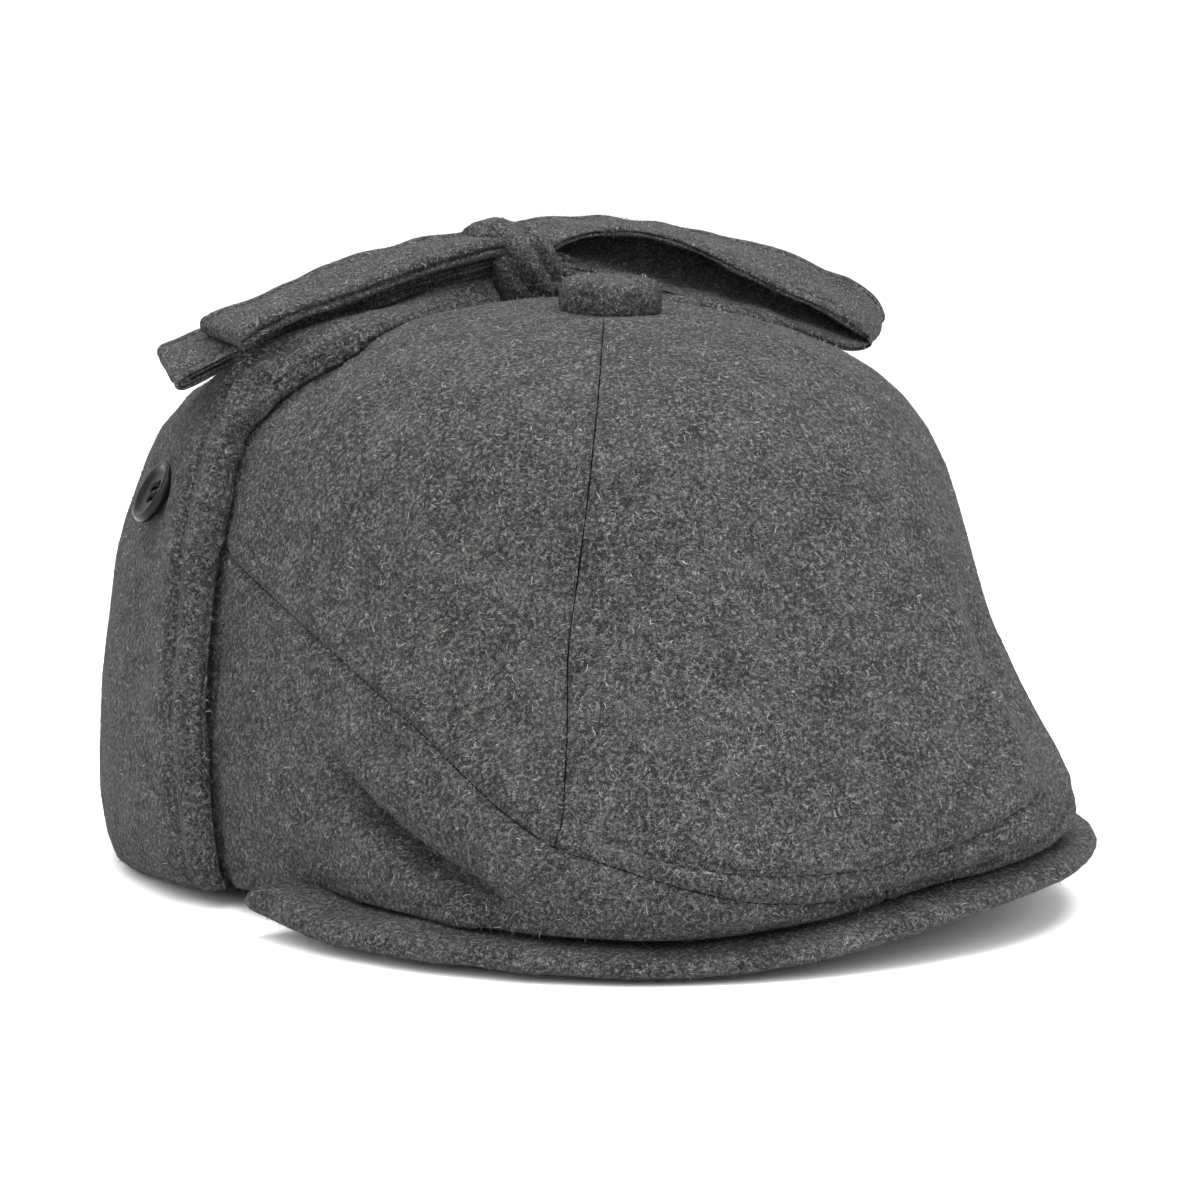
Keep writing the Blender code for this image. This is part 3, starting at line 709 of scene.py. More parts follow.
def dress(piece: bpy.types.Object, finish: bpy.types.Material, slot: str,
          *nodes: str) -> bpy.types.Object:
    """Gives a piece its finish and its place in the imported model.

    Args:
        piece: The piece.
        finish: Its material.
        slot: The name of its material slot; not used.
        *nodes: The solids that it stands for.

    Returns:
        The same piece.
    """
    piece.data.materials.clear()
    piece.data.materials.append(finish)
    if nodes:
        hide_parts(*nodes)
    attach(piece, "root")
    return piece


def worked_copy(source: bpy.types.Object, name: str, levels: int, rounds: int) -> bpy.types.Object:
    """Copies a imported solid, joins its loose triangles into quads and rounds it off.

    Args:
        source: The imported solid's object, which stays as it is.
        name: The new piece's name.
        levels: How many times the mesh is subdivided.
        rounds: How many times its facets and edges are softened.

    Returns:
        The new piece.
    """
    pick_up(source)
    bpy.ops.object.duplicate()
    piece = bpy.context.object
    piece.name = name
    piece.data.name = name
    piece.parent = None
    for key in list(piece.keys()):
        del piece[key]
    bpy.ops.mesh.customdata_custom_splitnormals_clear()
    with editing(piece):
        bpy.ops.mesh.remove_doubles(threshold=0.00002)
        bpy.ops.mesh.tris_convert_to_quads(face_threshold=math.radians(45.0),
                                           shape_threshold=math.radians(60.0))
        bpy.ops.mesh.mark_sharp(clear=True)
    apply_modifier(piece, "SUBSURF", subdivision_type="SIMPLE", levels=levels,
                   render_levels=levels)
    soften(piece, rounds)
    piece.data.shade_smooth()
    return piece


def soften(piece: bpy.types.Object, rounds: int) -> None:
    """Rounds off facets and edges; each step inward has a step outward, so nothing shrinks.

    Args:
        piece: The piece.
        rounds: How many pairs of steps are made.
    """
    places, _ = coordinates(piece)
    ends = np.empty(len(piece.data.edges) * 2, np.int64)
    piece.data.edges.foreach_get("vertices", ends)
    first, second = ends.reshape(-1, 2).T
    joined = np.bincount(ends, minlength=len(places))
    for step in range(2 * rounds):
        share = 0.50 if step % 2 == 0 else -0.52
        for axis in range(3):
            column = places[:, axis]
            total = np.bincount(first, column[second], len(column))
            total += np.bincount(second, column[first], len(column))
            places[:, axis] = column + share * (total / joined - column)
    piece.data.vertices.foreach_set("co", places.ravel())
    piece.data.update()


def settle(piece: bpy.types.Object, ground: BVHTree, reach_mm: float, gap_mm: float) -> None:
    """Lets the underside of a piece down onto the cloth below it.

    Args:
        piece: The piece.
        ground: The cloth that it lies on.
        reach_mm: How far from the cloth a place may be and still move.
        gap_mm: The gap that is left.
    """
    places, normals = coordinates(piece)
    for index, (place, normal) in enumerate(zip(places, normals)):
        spot, up, _, _ = ground.find_nearest(Vector(place), reach_mm * MM)
        if spot is None:
            continue
        facing = min(1.0, max(0.0, (0.35 - up.dot(Vector(normal))) / 0.7))
        height = (Vector(place) - spot).dot(up)
        share = facing * min(1.0, max(0.0, 2.0 - 2.0 * height / (reach_mm * MM)))
        places[index] += np.array(up) * (gap_mm * MM - height) * share
    put_back(piece, places)


def coordinates(piece: bpy.types.Object) -> tuple[np.ndarray, np.ndarray]:
    """Reads the vertices of a piece and their normals.

    Args:
        piece: The piece.

    Returns:
        The places and the normals, a row for each vertex.
    """
    places = np.empty(len(piece.data.vertices) * 3)
    normals = np.empty_like(places)
    piece.data.vertices.foreach_get("co", places)
    piece.data.vertex_normals.foreach_get("vector", normals)
    return places.reshape(-1, 3), normals.reshape(-1, 3)


def put_back(piece: bpy.types.Object, places: np.ndarray) -> None:
    """Writes moved vertices back, none of them under the floor."""
    places[:, 2] = np.maximum(places[:, 2], 0.0)
    piece.data.vertices.foreach_set("co", places.ravel())
    piece.data.update()
    piece.data.shade_smooth()


def smooth_line(points: Points, step: float = 0.5) -> np.ndarray:
    """A smooth curve through points.

    Args:
        points: The points, in millimetres.
        step: The distance between the curve's samples, in millimetres.

    Returns:
        The samples, in metres.
    """
    knots = np.array(points, float)
    padded = np.vstack([2 * knots[0] - knots[1], knots, 2 * knots[-1] - knots[-2]])
    samples = []
    for i in range(len(knots) - 1):
        a, b, c, d = padded[i:i + 4]
        count = max(2, int(np.linalg.norm(c - b) / step))
        for share in np.arange(count) / count:
            samples.append(b + 0.5 * share * (c - a + share * (
                2 * a - 5 * b + 4 * c - d + share * (3 * (b - c) + d - a))))
    samples.append(knots[-1])
    return np.array(samples) * MM


def travelled(line: np.ndarray) -> np.ndarray:
    """The distance along a line at each of its samples."""
    steps = np.linalg.norm(np.diff(line, axis=0), axis=1)
    return np.concatenate([[0.0], np.cumsum(steps)])


def read_off(at: float | np.ndarray, marks: np.ndarray, line: np.ndarray) -> np.ndarray:
    """Places on a line, by the marks that its samples carry."""
    return np.stack([np.interp(at, marks, line[:, k]) for k in range(3)], -1)


def mirrored(points: Points) -> Points:
    """The same points on the wearer's left."""
    return [(-x, y, z) for x, y, z in points]


def snapped(points: Points, ground: BVHTree) -> np.ndarray:
    """A smooth curve through points, laid on a surface."""
    return np.array([ground.find_nearest(Vector(place))[0] for place in smooth_line(points)])


def nearness(places: np.ndarray, line: np.ndarray) -> tuple[np.ndarray, np.ndarray]:
    """Distance of places from a line, and how far along the line each one is.

    Args:
        places: The places.
        line: The line's samples.

    Returns:
        The distances, in metres, and the shares of the line's length, 0 to 1. A place out of
        reach of the line gets a distance of a metre.
    """
    finder = KDTree(len(line))
    for index, point in enumerate(line):
        finder.insert(point, index)
    finder.balance()
    low = line.min(0) - LINE_REACH_MM * MM
    high = line.max(0) + LINE_REACH_MM * MM
    distance = np.full(len(places), 1.0)
    along = np.zeros(len(places))
    for index in np.flatnonzero(np.all((places > low) & (places < high), axis=1)):
        _, found, apart = finder.find(places[index])
        distance[index] = apart
        along[index] = found / (len(line) - 1)
    return distance, along


def faces_out(places: np.ndarray, normals: np.ndarray) -> np.ndarray:
    """Whether each place of the shell faces away from the hollow of the head."""
    return np.einsum("ij,ij->i", normals, places - np.array(HOLLOW)) > 0.0


@dataclass(frozen=True)
class Crease:
    """A seam's groove, a fold or a soft ridge that follows a line on the cloth.

    Depth is negative for a ridge. A roll is the cloth's rise beside a sewn groove.
    """

    points: Points
    depth_mm: float
    width_mm: float
    roll_mm: float = 0.0
    roll_at_mm: float = 3.0
    fades: bool = False

    def shift(self, places: np.ndarray, ground: BVHTree) -> np.ndarray:
        """Works out the crease's share in the shape of a surface.

        Args:
            places: The surface's vertices.
            ground: The smooth surface that the crease's line is laid on.

        Returns:
            How far outward each place moves, in metres.
        """
        distance, along = nearness(places, snapped(self.points, ground))
        distance = distance / MM
        move = -self.depth_mm * np.exp(-(distance / self.width_mm) ** 2)
        beside = (distance - self.roll_at_mm) / (0.6 * self.roll_at_mm)
        move += self.roll_mm * np.exp(-beside ** 2)
        if self.fades:
            move *= np.clip(np.sin(math.pi * np.clip(along, 0.0, 1.0)), 0.0, 1.0) ** 0.6
        return move * MM


def ripple(places: np.ndarray, amount_mm: float, length_mm: float, seed: float) -> np.ndarray:
    """Soft unevenness of hand.

    Args:
        places: The surface's vertices.
        amount_mm: The most that a place moves.
        length_mm: How far apart the bumps are.
        seed: Which of the uneven surfaces it is.

    Returns:
        How far outward each place moves, in metres.
    """
    scale = 1.0 / (length_mm * MM)
    return np.array([noise.noise(Vector(p) * scale + Vector((seed, 0.0, 0.0)))
                     for p in places]) * amount_mm * MM


def refine_along(piece: bpy.types.Object, lines: list[np.ndarray], reach_mm: float) -> None:
    """Subdivides the faces that lie near some lines, so that a narrow groove can form there.

    Args:
        piece: The piece.
        lines: The lines.
        reach_mm: How far from a line a face may lie.
    """
    centres = np.array([p.center for p in piece.data.polygons])
    chosen = np.zeros(len(centres), bool)
    for line in lines:
        distance, _ = nearness(centres, line)
        chosen |= distance < reach_mm * MM
    pick_up(piece)
    bpy.ops.object.mode_set(mode="EDIT")
    bpy.ops.mesh.select_all(action="DESELECT")
    bpy.ops.mesh.select_mode(type="FACE")
    bpy.ops.object.mode_set(mode="OBJECT")
    piece.data.polygons.foreach_set("select", chosen)
    bpy.ops.object.mode_set(mode="EDIT")
    bpy.ops.mesh.subdivide(number_cuts=1, smoothness=0.0)
    bpy.ops.object.mode_set(mode="OBJECT")


def surface_of(piece: bpy.types.Object) -> BVHTree:
    """A finder of the nearest place on a piece."""
    places, _ = coordinates(piece)
    return BVHTree.FromPolygons([tuple(p) for p in places],
                                [tuple(p.vertices) for p in piece.data.polygons])


def repeated(name: str, model: bpy.types.Object, frames: list[Matrix]) -> bpy.types.Object:
    """One mesh of many placed copies of a small model, which is removed.

    Args:
        name: The new piece's name.
        model: The small model, at the origin.
        frames: Where each copy goes.

    Returns:
        The new piece.
    """
    places, _ = coordinates(model)
    faces = [tuple(p.vertices) for p in model.data.polygons]
    vertices = []
    polygons = []
    for frame in frames:
        turn = np.array(frame.to_3x3())
        base = len(vertices)
        vertices.extend((places @ turn.T + np.array(frame.translation)).tolist())
        polygons.extend(tuple(i + base for i in face) for face in faces)
    mesh = bpy.data.meshes.new(name)
    mesh.from_pydata(vertices, [], polygons)
    mesh.shade_smooth()
    bpy.data.objects.remove(model, do_unlink=True)
    return new_piece(name, mesh)


@dataclass
class Stitching:
    """A row of sewn stitches along a line on a piece."""

    name: str
    points: Points
    length_mm: float = 2.3
    gap_mm: float = 0.9
    radius_mm: float = 0.17
    dip_mm: float = 0.25

    def _stitch(self) -> bpy.types.Object:
        """One stitch: a short length of thread whose two ends dip into the cloth.

        Returns:
            The stitch, at the origin.
        """
        length = self.length_mm * MM
        deselect()
        bpy.ops.mesh.primitive_cylinder_add(vertices=6, radius=self.radius_mm * MM, depth=length,
                                            rotation=(0.0, math.pi / 2.0, 0.0))
        model = bpy.context.object
        bpy.ops.object.transform_apply(location=False, rotation=True, scale=False)
        with editing(model):
            for end in (1.0, -1.0):
                bpy.ops.mesh.select_all(action="SELECT")
                bpy.ops.mesh.bisect(plane_co=(end * length * 0.3, 0, 0), plane_no=(1, 0, 0))
        places, _ = coordinates(model)
        ends = np.abs(places[:, 0]) > 0.45 * length
        places[ends, 2] = places[ends, 2] * 0.6 - self.dip_mm * MM
        places[ends, 1] *= 0.6
        model.data.vertices.foreach_set("co", places.ravel())
        return model

    def build(self, ground: BVHTree, finish: bpy.types.Material, slot: str) -> bpy.types.Object:
        """Lays the stitches on a surface.

        Args:
            ground: The surface that they lie on.
            finish: The thread.
            slot: The material slot of the piece that they belong to.

        Returns:
            The row of stitches, as one piece.
        """
        line = smooth_line(self.points, 0.25)
        marks = travelled(line)
        pitch = (self.length_mm + self.gap_mm) * MM
        frames = []
        for start in np.arange(0.5 * pitch, marks[-1], pitch):
            here = read_off(start, marks, line)
            spot, normal, _, _ = ground.find_nearest(here)
            ahead = Vector(read_off(start + 0.4 * MM, marks, line) - here)
            ahead = (ahead - normal * ahead.dot(normal)).normalized()
            turn = Matrix((ahead, normal.cross(ahead), normal)).transposed().to_4x4()
            frames.append(Matrix.Translation(spot) @ turn)
        return dress(repeated(self.name, self._stitch(), frames), finish, slot)


@dataclass
class SeamShadowTube:
    """A dark tube laid in a sewn seam's groove: painted shade for the shadow at the seam's closed
    joint.
    """

    name: str
    points: Points
    radius_mm: float = 0.16
    uneven: float = 0.7
    uneven_per_m: float = 150.0

    def build(self, smooth: BVHTree, ground: BVHTree, finish: bpy.types.Material,
              slot: str) -> bpy.types.Object:
        """Runs the painted seam shadow along the groove's bottom as a thin closed tube.

        Args:
            smooth: The surface before its seams were pressed in.
            ground: The surface that the tube lies in.
            finish: Its material.
            slot: The material slot of the piece that it belongs to.

        Returns:
            The dark tube of painted seam shadow.
        """
        spots, ups, depths = [], [], []
        for point in smooth_line(self.points, 0.8):
            spot, up, _, _ = smooth.find_nearest(Vector(point))
            hit, _, _, _ = ground.ray_cast(spot + up * 5.0 * MM, -up, 12.0 * MM)
            spots.append(spot)
            ups.append(up)
            depths.append((hit - spot).dot(up) if hit else 0.0)
        even = np.convolve(np.pad(depths, 2, mode="edge"), np.ones(5) / 5.0, mode="valid")
        curve = new_tube(self.name, self.radius_mm, 0)
        curve.use_fill_caps = True
        spline = curve.splines.new("POLY")
        spline.points.add(len(spots) - 1)
        for point, spot, up, depth in zip(spline.points, spots, ups, even):
            point.co = (*(spot + up * depth), 1.0)
            point.radius = 1.0 + self.uneven * noise.noise(spot * self.uneven_per_m)
        return dress(as_mesh(curve), finish, slot)


@dataclass
class Fuzz:
    """The loose hairs on a piece of cloth, drawn about three times as thick as real ones.

    A real hair of 0.03 mm would fall between the picture's pixels.
    """

    name: str
    count: int
    seed: int
    length_mm: float = 2.0
    width_mm: float = 0.085
    lift_mm: float = 0.28
    standing: float = 0.12
    stands_taller: float = 2.6
    bare_mm: float = 0.45
    rooted_mm: float = 0.05

    def _grounds(self, ground: bpy.types.Object, outer_only: bool,
                 bare: list[np.ndarray]) -> tuple[np.ndarray, np.ndarray, np.ndarray]:
        """Sorts out where hairs may grow.

        Args:
            ground: The cloth.
            outer_only: Whether only the faces turned away from the head's hollow have hairs.
            bare: Lines beside which no hair grows.

        Returns:
            Each triangle's corners, their normals, and its share of the hairs.
        """
        mesh = ground.data
        mesh.calc_loop_triangles()
        corners = np.empty(len(mesh.loop_triangles) * 3, np.int64)
        mesh.loop_triangles.foreach_get("vertices", corners)
        corners = corners.reshape(-1, 3)
        places, normals = coordinates(ground)
        a, b, c = (places[corners[:, k]] for k in range(3))
        cross = np.cross(b - a, c - a)
        area = np.linalg.norm(cross, axis=1) / 2.0
        if outer_only:
            area = np.where(faces_out((a + b + c) / 3.0, cross), area, 0.0)
        for line in bare:
            distance, _ = nearness(places, line)
            area = np.where(distance[corners].min(1) < self.bare_mm * MM, 0.0, area)
        return places[corners], normals[corners], area / area.sum()

    def build(self, ground: bpy.types.Object, finish: bpy.types.Material, slot: str,
              outer_only: bool = False,
              bare: list[np.ndarray] | None = None) -> bpy.types.Object:
        """Scatters the hairs over a piece.

        Args:
            ground: The cloth that they grow from.
            finish: The hairs' material.
            slot: The cloth's material slot.
            outer_only: Whether only the faces turned away from the head's hollow have hairs.
            bare: Lines beside which no hair grows.

        Returns:
            The hairs, as one piece.
        """
        rng = np.random.default_rng(self.seed)
        places, normals, share = self._grounds(ground, outer_only, bare or [])
        chosen = rng.choice(len(share), self.count, p=share)
        a, b, c = places[chosen].transpose(1, 0, 2)
        u = rng.random((self.count, 2))
        over = u.sum(1) > 1.0
        u[over] = 1.0 - u[over]
        root = a + u[:, :1] * (b - a) + u[:, 1:] * (c - a)
        up = normals[chosen].mean(1)
        up /= np.linalg.norm(up, axis=1)[:, None] + 1e-12
        loose = rng.normal(size=(self.count, 3))
        ahead = loose - up * np.einsum("ij,ij->i", loose, up)[:, None]
        ahead /= np.linalg.norm(ahead, axis=1)[:, None]
        side = np.cross(up, ahead)
        length = self.length_mm * MM * rng.uniform(0.45, 1.25, self.count)[:, None]
        bend = rng.uniform(-1.1, 1.1, self.count)[:, None]
        stands = rng.random(self.count)[:, None] < self.standing
        lift = self.lift_mm * MM * rng.uniform(0.2, 1.0, self.count)[:, None]
        lift = np.where(stands, lift * self.stands_taller, lift)
        middle = root + ahead * length * 0.5 + up * lift
        tip_way = ahead * np.cos(bend) + side * np.sin(bend)
        droop = rng.uniform(-0.8, 0.6, self.count)[:, None]
        tip = middle + tip_way * length * 0.5 + up * lift * droop
        half = side * self.width_mm * MM / 2.0 * rng.uniform(0.6, 1.3, self.count)[:, None]
        root = root - up * self.rooted_mm * MM
        vertices = np.stack([root - half, root + half, middle + half, middle - half, tip], 1)
        vertices[:, :, 2] = np.maximum(vertices[:, :, 2], HAIR_OFF_FLOOR_MM * MM)
        base = np.arange(self.count)[:, None] * 5
        faces = (base + np.array([0, 1, 2, 3])).tolist() + (base + np.array([3, 2, 4])).tolist()
        mesh = bpy.data.meshes.new(self.name)
        mesh.from_pydata(vertices.reshape(-1, 3).tolist(), [], faces)
        shade = np.repeat(rng.beta(1.6, 1.5, self.count), 5).astype(np.float32)
        mesh.attributes.new("hair_shade", "FLOAT", "POINT").data.foreach_set("value", shade)
        mesh.shade_smooth()
        return dress(new_piece(self.name, mesh), finish, slot)


@dataclass
class Crown:
    """The crown: a sewn shell of wool with its folds, panel seams and top-stitching.

    The flat size is that of the cloth it is cut from; half of the shell's surface is the cut's
    area, because the shell has an inner and an outer face.
    """

    node: str = "crown"
    slot: str = "crown_wool"
    levels: int = 2
    rounds: int = 8
    hairs: int = 100000
    hair_seeds: tuple[int, ...] = (11, 12)
    cut: tuple[float, float] = (0.42, 0.26)
    cut_area: float = 0.087
    sag_mm: float = 2.6
    sag_at_mm: float = 4.0
    sag_reach_mm: float = 14.0

    def seams(self) -> dict[str, Crease]:
        """Lists the sewn seams.

        Returns:
            The seams by name.
        """
        return {
            "panel_seam_right": Crease(PANEL_SEAM, 0.4, 0.6, 0.40, 2.4),
            "panel_seam_left": Crease(mirrored(PANEL_SEAM), 0.4, 0.6, 0.40, 2.4),
            "front_seam": Crease(FRONT_SEAM, 0.8, 0.7, 0.65, 2.8),
            "front_joint": Crease(FRONT_JOINT, 0.6, 0.6, 0.1, 2.0),
        }

    def folds(self) -> list[Crease]:
        """Lists the soft folds and dents of the worn cloth.

        Returns:
            The folds.
        """
        above = [(x + 1.0, y, z + 9.0) for x, y, z in DEEP_FOLD]
        below = [(x, y, z - 8.0) for x, y, z in DEEP_FOLD[1:6]]
        under_seam = [(x, y, z - 4.0) for x, y, z in FRONT_SEAM[8:20]]
        top = [(-26.0, 12.0, 128.0), (0.0, 12.0, 129.5), (26.0, 12.0, 128.0)]
        fading = [(DEEP_FOLD, 6.4, 2.9), (above, -3.0, 5.0), (below, -1.8, 4.4)]
        fading += [(points, depth, width) for depth, width, points in SMALL_FOLDS]
        return [Crease(points, depth, width, fades=True) for points, depth, width in fading] + [
            Crease(under_seam, -0.6, 2.6),
            Crease(top, -2.0, 22.0),
            Crease(FLAP_EDGE[:-4], 1.4, 2.2),
            Crease(mirrored(FLAP_EDGE[:-4]), 1.4, 2.2),
            Crease(TOP_STITCH, 0.7, 0.9, 0.3, 2.6),
        ]

    def _sag(self, places: np.ndarray) -> np.ndarray:
        """Lets the cloth above the deep fold hang over it.

        Args:
            places: The crown's vertices.

        Returns:
            How far each place hangs down, in millimetres.
        """
        line = smooth_line(DEEP_FOLD)
        distance, along = nearness(places, line)
        height = (places[:, 2] - line[(along * (len(line) - 1)).astype(int), 2]) / MM
        hang = np.exp(-((height - self.sag_at_mm) / self.sag_at_mm) ** 2) * (height > 0.0)
        near = np.exp(-(distance / MM / self.sag_reach_mm) ** 2)
        return self.sag_mm * hang * near * np.sin(math.pi * along) ** 0.6

    def _shape(self, piece: bpy.types.Object, smooth: BVHTree) -> None:
        """Presses the seams and folds into the crown's cloth.

        Args:
            piece: The cloth.
            smooth: Its surface before that.
        """
        seams = self.seams().values()
        lines = [snapped(seam.points, smooth) for seam in seams]
        lines.append(snapped(TOP_STITCH, smooth))
        refine_along(piece, [smooth_line(DEEP_FOLD)], 12.0)
        refine_along(piece, lines, 4.0)
        refine_along(piece, lines, 2.2)
        places, normals = coordinates(piece)
        outer = faces_out(places, normals)
        move = ripple(places, 0.8, 30.0, 3.0)
        for fold in self.folds():
            move += fold.shift(places, smooth)
        for seam in seams:
            move += np.where(outer, seam.shift(places, smooth), 0.0)
        places = places + normals * (move * np.where(outer, 1.0, -1.0))[:, None]
        places[:, 2] -= self._sag(places) * MM
        put_back(piece, places)

    def build(self, cap: Cap) -> list[bpy.types.Object]:
        """Models the crown over its solid and dresses it.

        Args:
            cap: What the parts are made from. It is given the crown's cloth.

        Returns:
            The crown's cloth and its trims.
        """
        piece = worked_copy(cap.nodes[self.node], "crown_cloth", self.levels, self.rounds)
        smooth = surface_of(piece)
        self._shape(piece, smooth)
        dress(piece, cap.finishes.wool, self.slot, self.node)
        ground = surface_of(piece)
        seams = self.seams()
        # Each seam gets a dark tube at its groove's bottom: painted shade for the seam's shadow.
        trims = [SeamShadowTube(name, seam.points).build(smooth, ground, cap.finishes.seam, self.slot)
                 for name, seam in seams.items()]
        trims.append(Stitching("top_stitch", TOP_STITCH).build(
            ground, cap.finishes.thread, self.slot))
        bare = [snapped(seam.points, ground) for seam in seams.values()]
        for index, seed in enumerate(self.hair_seeds, 1):
            hair = Fuzz(f"crown_hair_{index}", self.hairs // len(self.hair_seeds), seed)
            trims.append(hair.build(piece, cap.finishes.hair, self.slot, True, bare))
        cap.crown = piece
        return [piece, *trims]


@dataclass
class Peak:
    """The peak: a stiff board in a padded wool cover with a rolled edge.

    Its two ends, beside the crown, are fuller and stand a little higher.
    """

    node: str = "peak"
    slot: str = "peak_wool"
    levels: int = 3
    rounds: int = 14
    hairs: int = 16000
    fill: float = 0.5
    tip_from_mm: float = 48.0
    tip_length_mm: float = 24.0
    tip_fuller_mm: float = 1.1
    tip_higher_mm: float = 1.8

    def build(self, cap: Cap) -> list[bpy.types.Object]:
        """Models the peak over its solid and dresses it.

        Args:
            cap: What the parts are made from.

        Returns:
            The peak's cloth and its hairs.
        """
        piece = worked_copy(cap.nodes[self.node], "peak_cloth", self.levels, self.rounds)
        places, normals = coordinates(piece)
        tip = np.clip((places[:, 1] / MM + self.tip_from_mm) / self.tip_length_mm, 0.0, 1.0)
        move = ripple(places, 0.5, 16.0, 9.0) + self.tip_fuller_mm * MM * tip
        places = places + normals * move[:, None]
        places[:, 2] += self.tip_higher_mm * MM * tip
        put_back(piece, places)
        dress(piece, cap.finishes.wool, self.slot, self.node)
        hair = Fuzz("peak_hair", self.hairs, 21).build(piece, cap.finishes.hair, self.slot)
        return [piece, hair]


@dataclass
class EarFlap:
    """An ear flap turned up over the crown, with a piped edge that runs on as the tie's."""

    side: Side
    levels: int = 2
    rounds: int = 5
    hairs: int = 26000
    fill: float = 0.35
    slot: str = "flap_wool"
    piping_mm: float = 6.5
    button_dent_mm: float = 1.5
    tie_from_mm: float = 108.0
    tie_begins_mm: float = 7.0
    tie_thick_mm: float = 3.2
    tie_flatter: float = 0.35
    ridge_y_mm: float = 21.5
    ridge_behind_mm: float = 9.0

    def _tie(self, piece: bpy.types.Object, ground: BVHTree) -> None:
        """Flattens the part that runs on as the tie and lifts it behind its front edge.

        Args:
            piece: The flap's cloth.
            ground: The crown's cloth.
        """
        places, _ = coordinates(piece)
        outs, fronts, tops = np.array(TIE_LINES).T
        for index in np.flatnonzero(places[:, 2] > self.tie_from_mm * MM):
            place = Vector(places[index])
            spot, up, _, _ = ground.find_nearest(place)
            share = min(1.0, (place.z / MM - self.tie_from_mm) / self.tie_begins_mm)
            height = (place - spot).dot(up)
            places[index] -= np.array(up) * self.tie_flatter * height * share
            out = abs(place.x) / MM
            front = np.interp(out, outs, fronts)
            ridge = max(self.ridge_y_mm, front + self.ridge_behind_mm)
            under, _, _, _ = ground.ray_cast(Vector((place.x, ridge * MM, 0.2)),
                                             Vector((0, 0, -1)))
            if under is None:
                continue
            top = np.interp(out, outs, tops)
            lift = max(0.0, top - under.z / MM - self.tie_thick_mm)
            rising = min(1.0, max(0.0, (place.y / MM - front) / (ridge - front)))
            falling = min(1.0, max(0.0, (place.y / MM - ridge - 6.0) / 22.0))
            shape = rising * rising * (3.0 - 2.0 * rising) * (1.0 - 0.8 * falling)
            places[index][2] += lift * MM * shape * share
        put_back(piece, places)

    def build(self, cap: Cap) -> list[bpy.types.Object]:
        """Models the flap over its solid and dresses it.

        Args:
            cap: What the parts are made from.

        Returns:
            The flap's cloth and its hairs.
        """
        node_name = f"ear_flap_{self.side.value}"
        right = self.side is Side.RIGHT
        edge = self.side.of(FLAP_EDGE)
        groove = self.side.of(FLAP_GROOVE)
        pipe = [(x, y + 0.55 * self.piping_mm, z) for x, y, z in edge]
        button = self.side.of([(-89.5, 40.0, 89.1), (-89.5, 42.0, 89.1)])
        piece = worked_copy(cap.nodes[node_name], f"{node_name}_cloth", self.levels, self.rounds)
        smooth = surface_of(piece)
        refine_along(piece, [snapped(groove, smooth), snapped(edge, smooth)], 5.0)
        places, normals = coordinates(piece)
        move = Crease(groove, 1.5, 1.3, 0.3, 4.0).shift(places, smooth)
        move += Crease(pipe, -0.7, 2.6).shift(places, smooth)
        move += ripple(places, 0.9, 24.0, 5.0 if right else 6.0)
        move += Crease(button, self.button_dent_mm, 7.5).shift(places, smooth)
        move = np.where(faces_out(places, normals), move, 0.0)
        put_back(piece, places + normals * move[:, None])
        self._tie(piece, surface_of(cap.crown))
        settle(piece, surface_of(cap.crown), 2.2, 0.10)
        dress(piece, cap.finishes.wool, self.slot, node_name)
        hair = Fuzz(f"{node_name}_hair", self.hairs, 31 if right else 32).build(
            piece, cap.finishes.hair, self.slot, True)
        return [piece, hair]


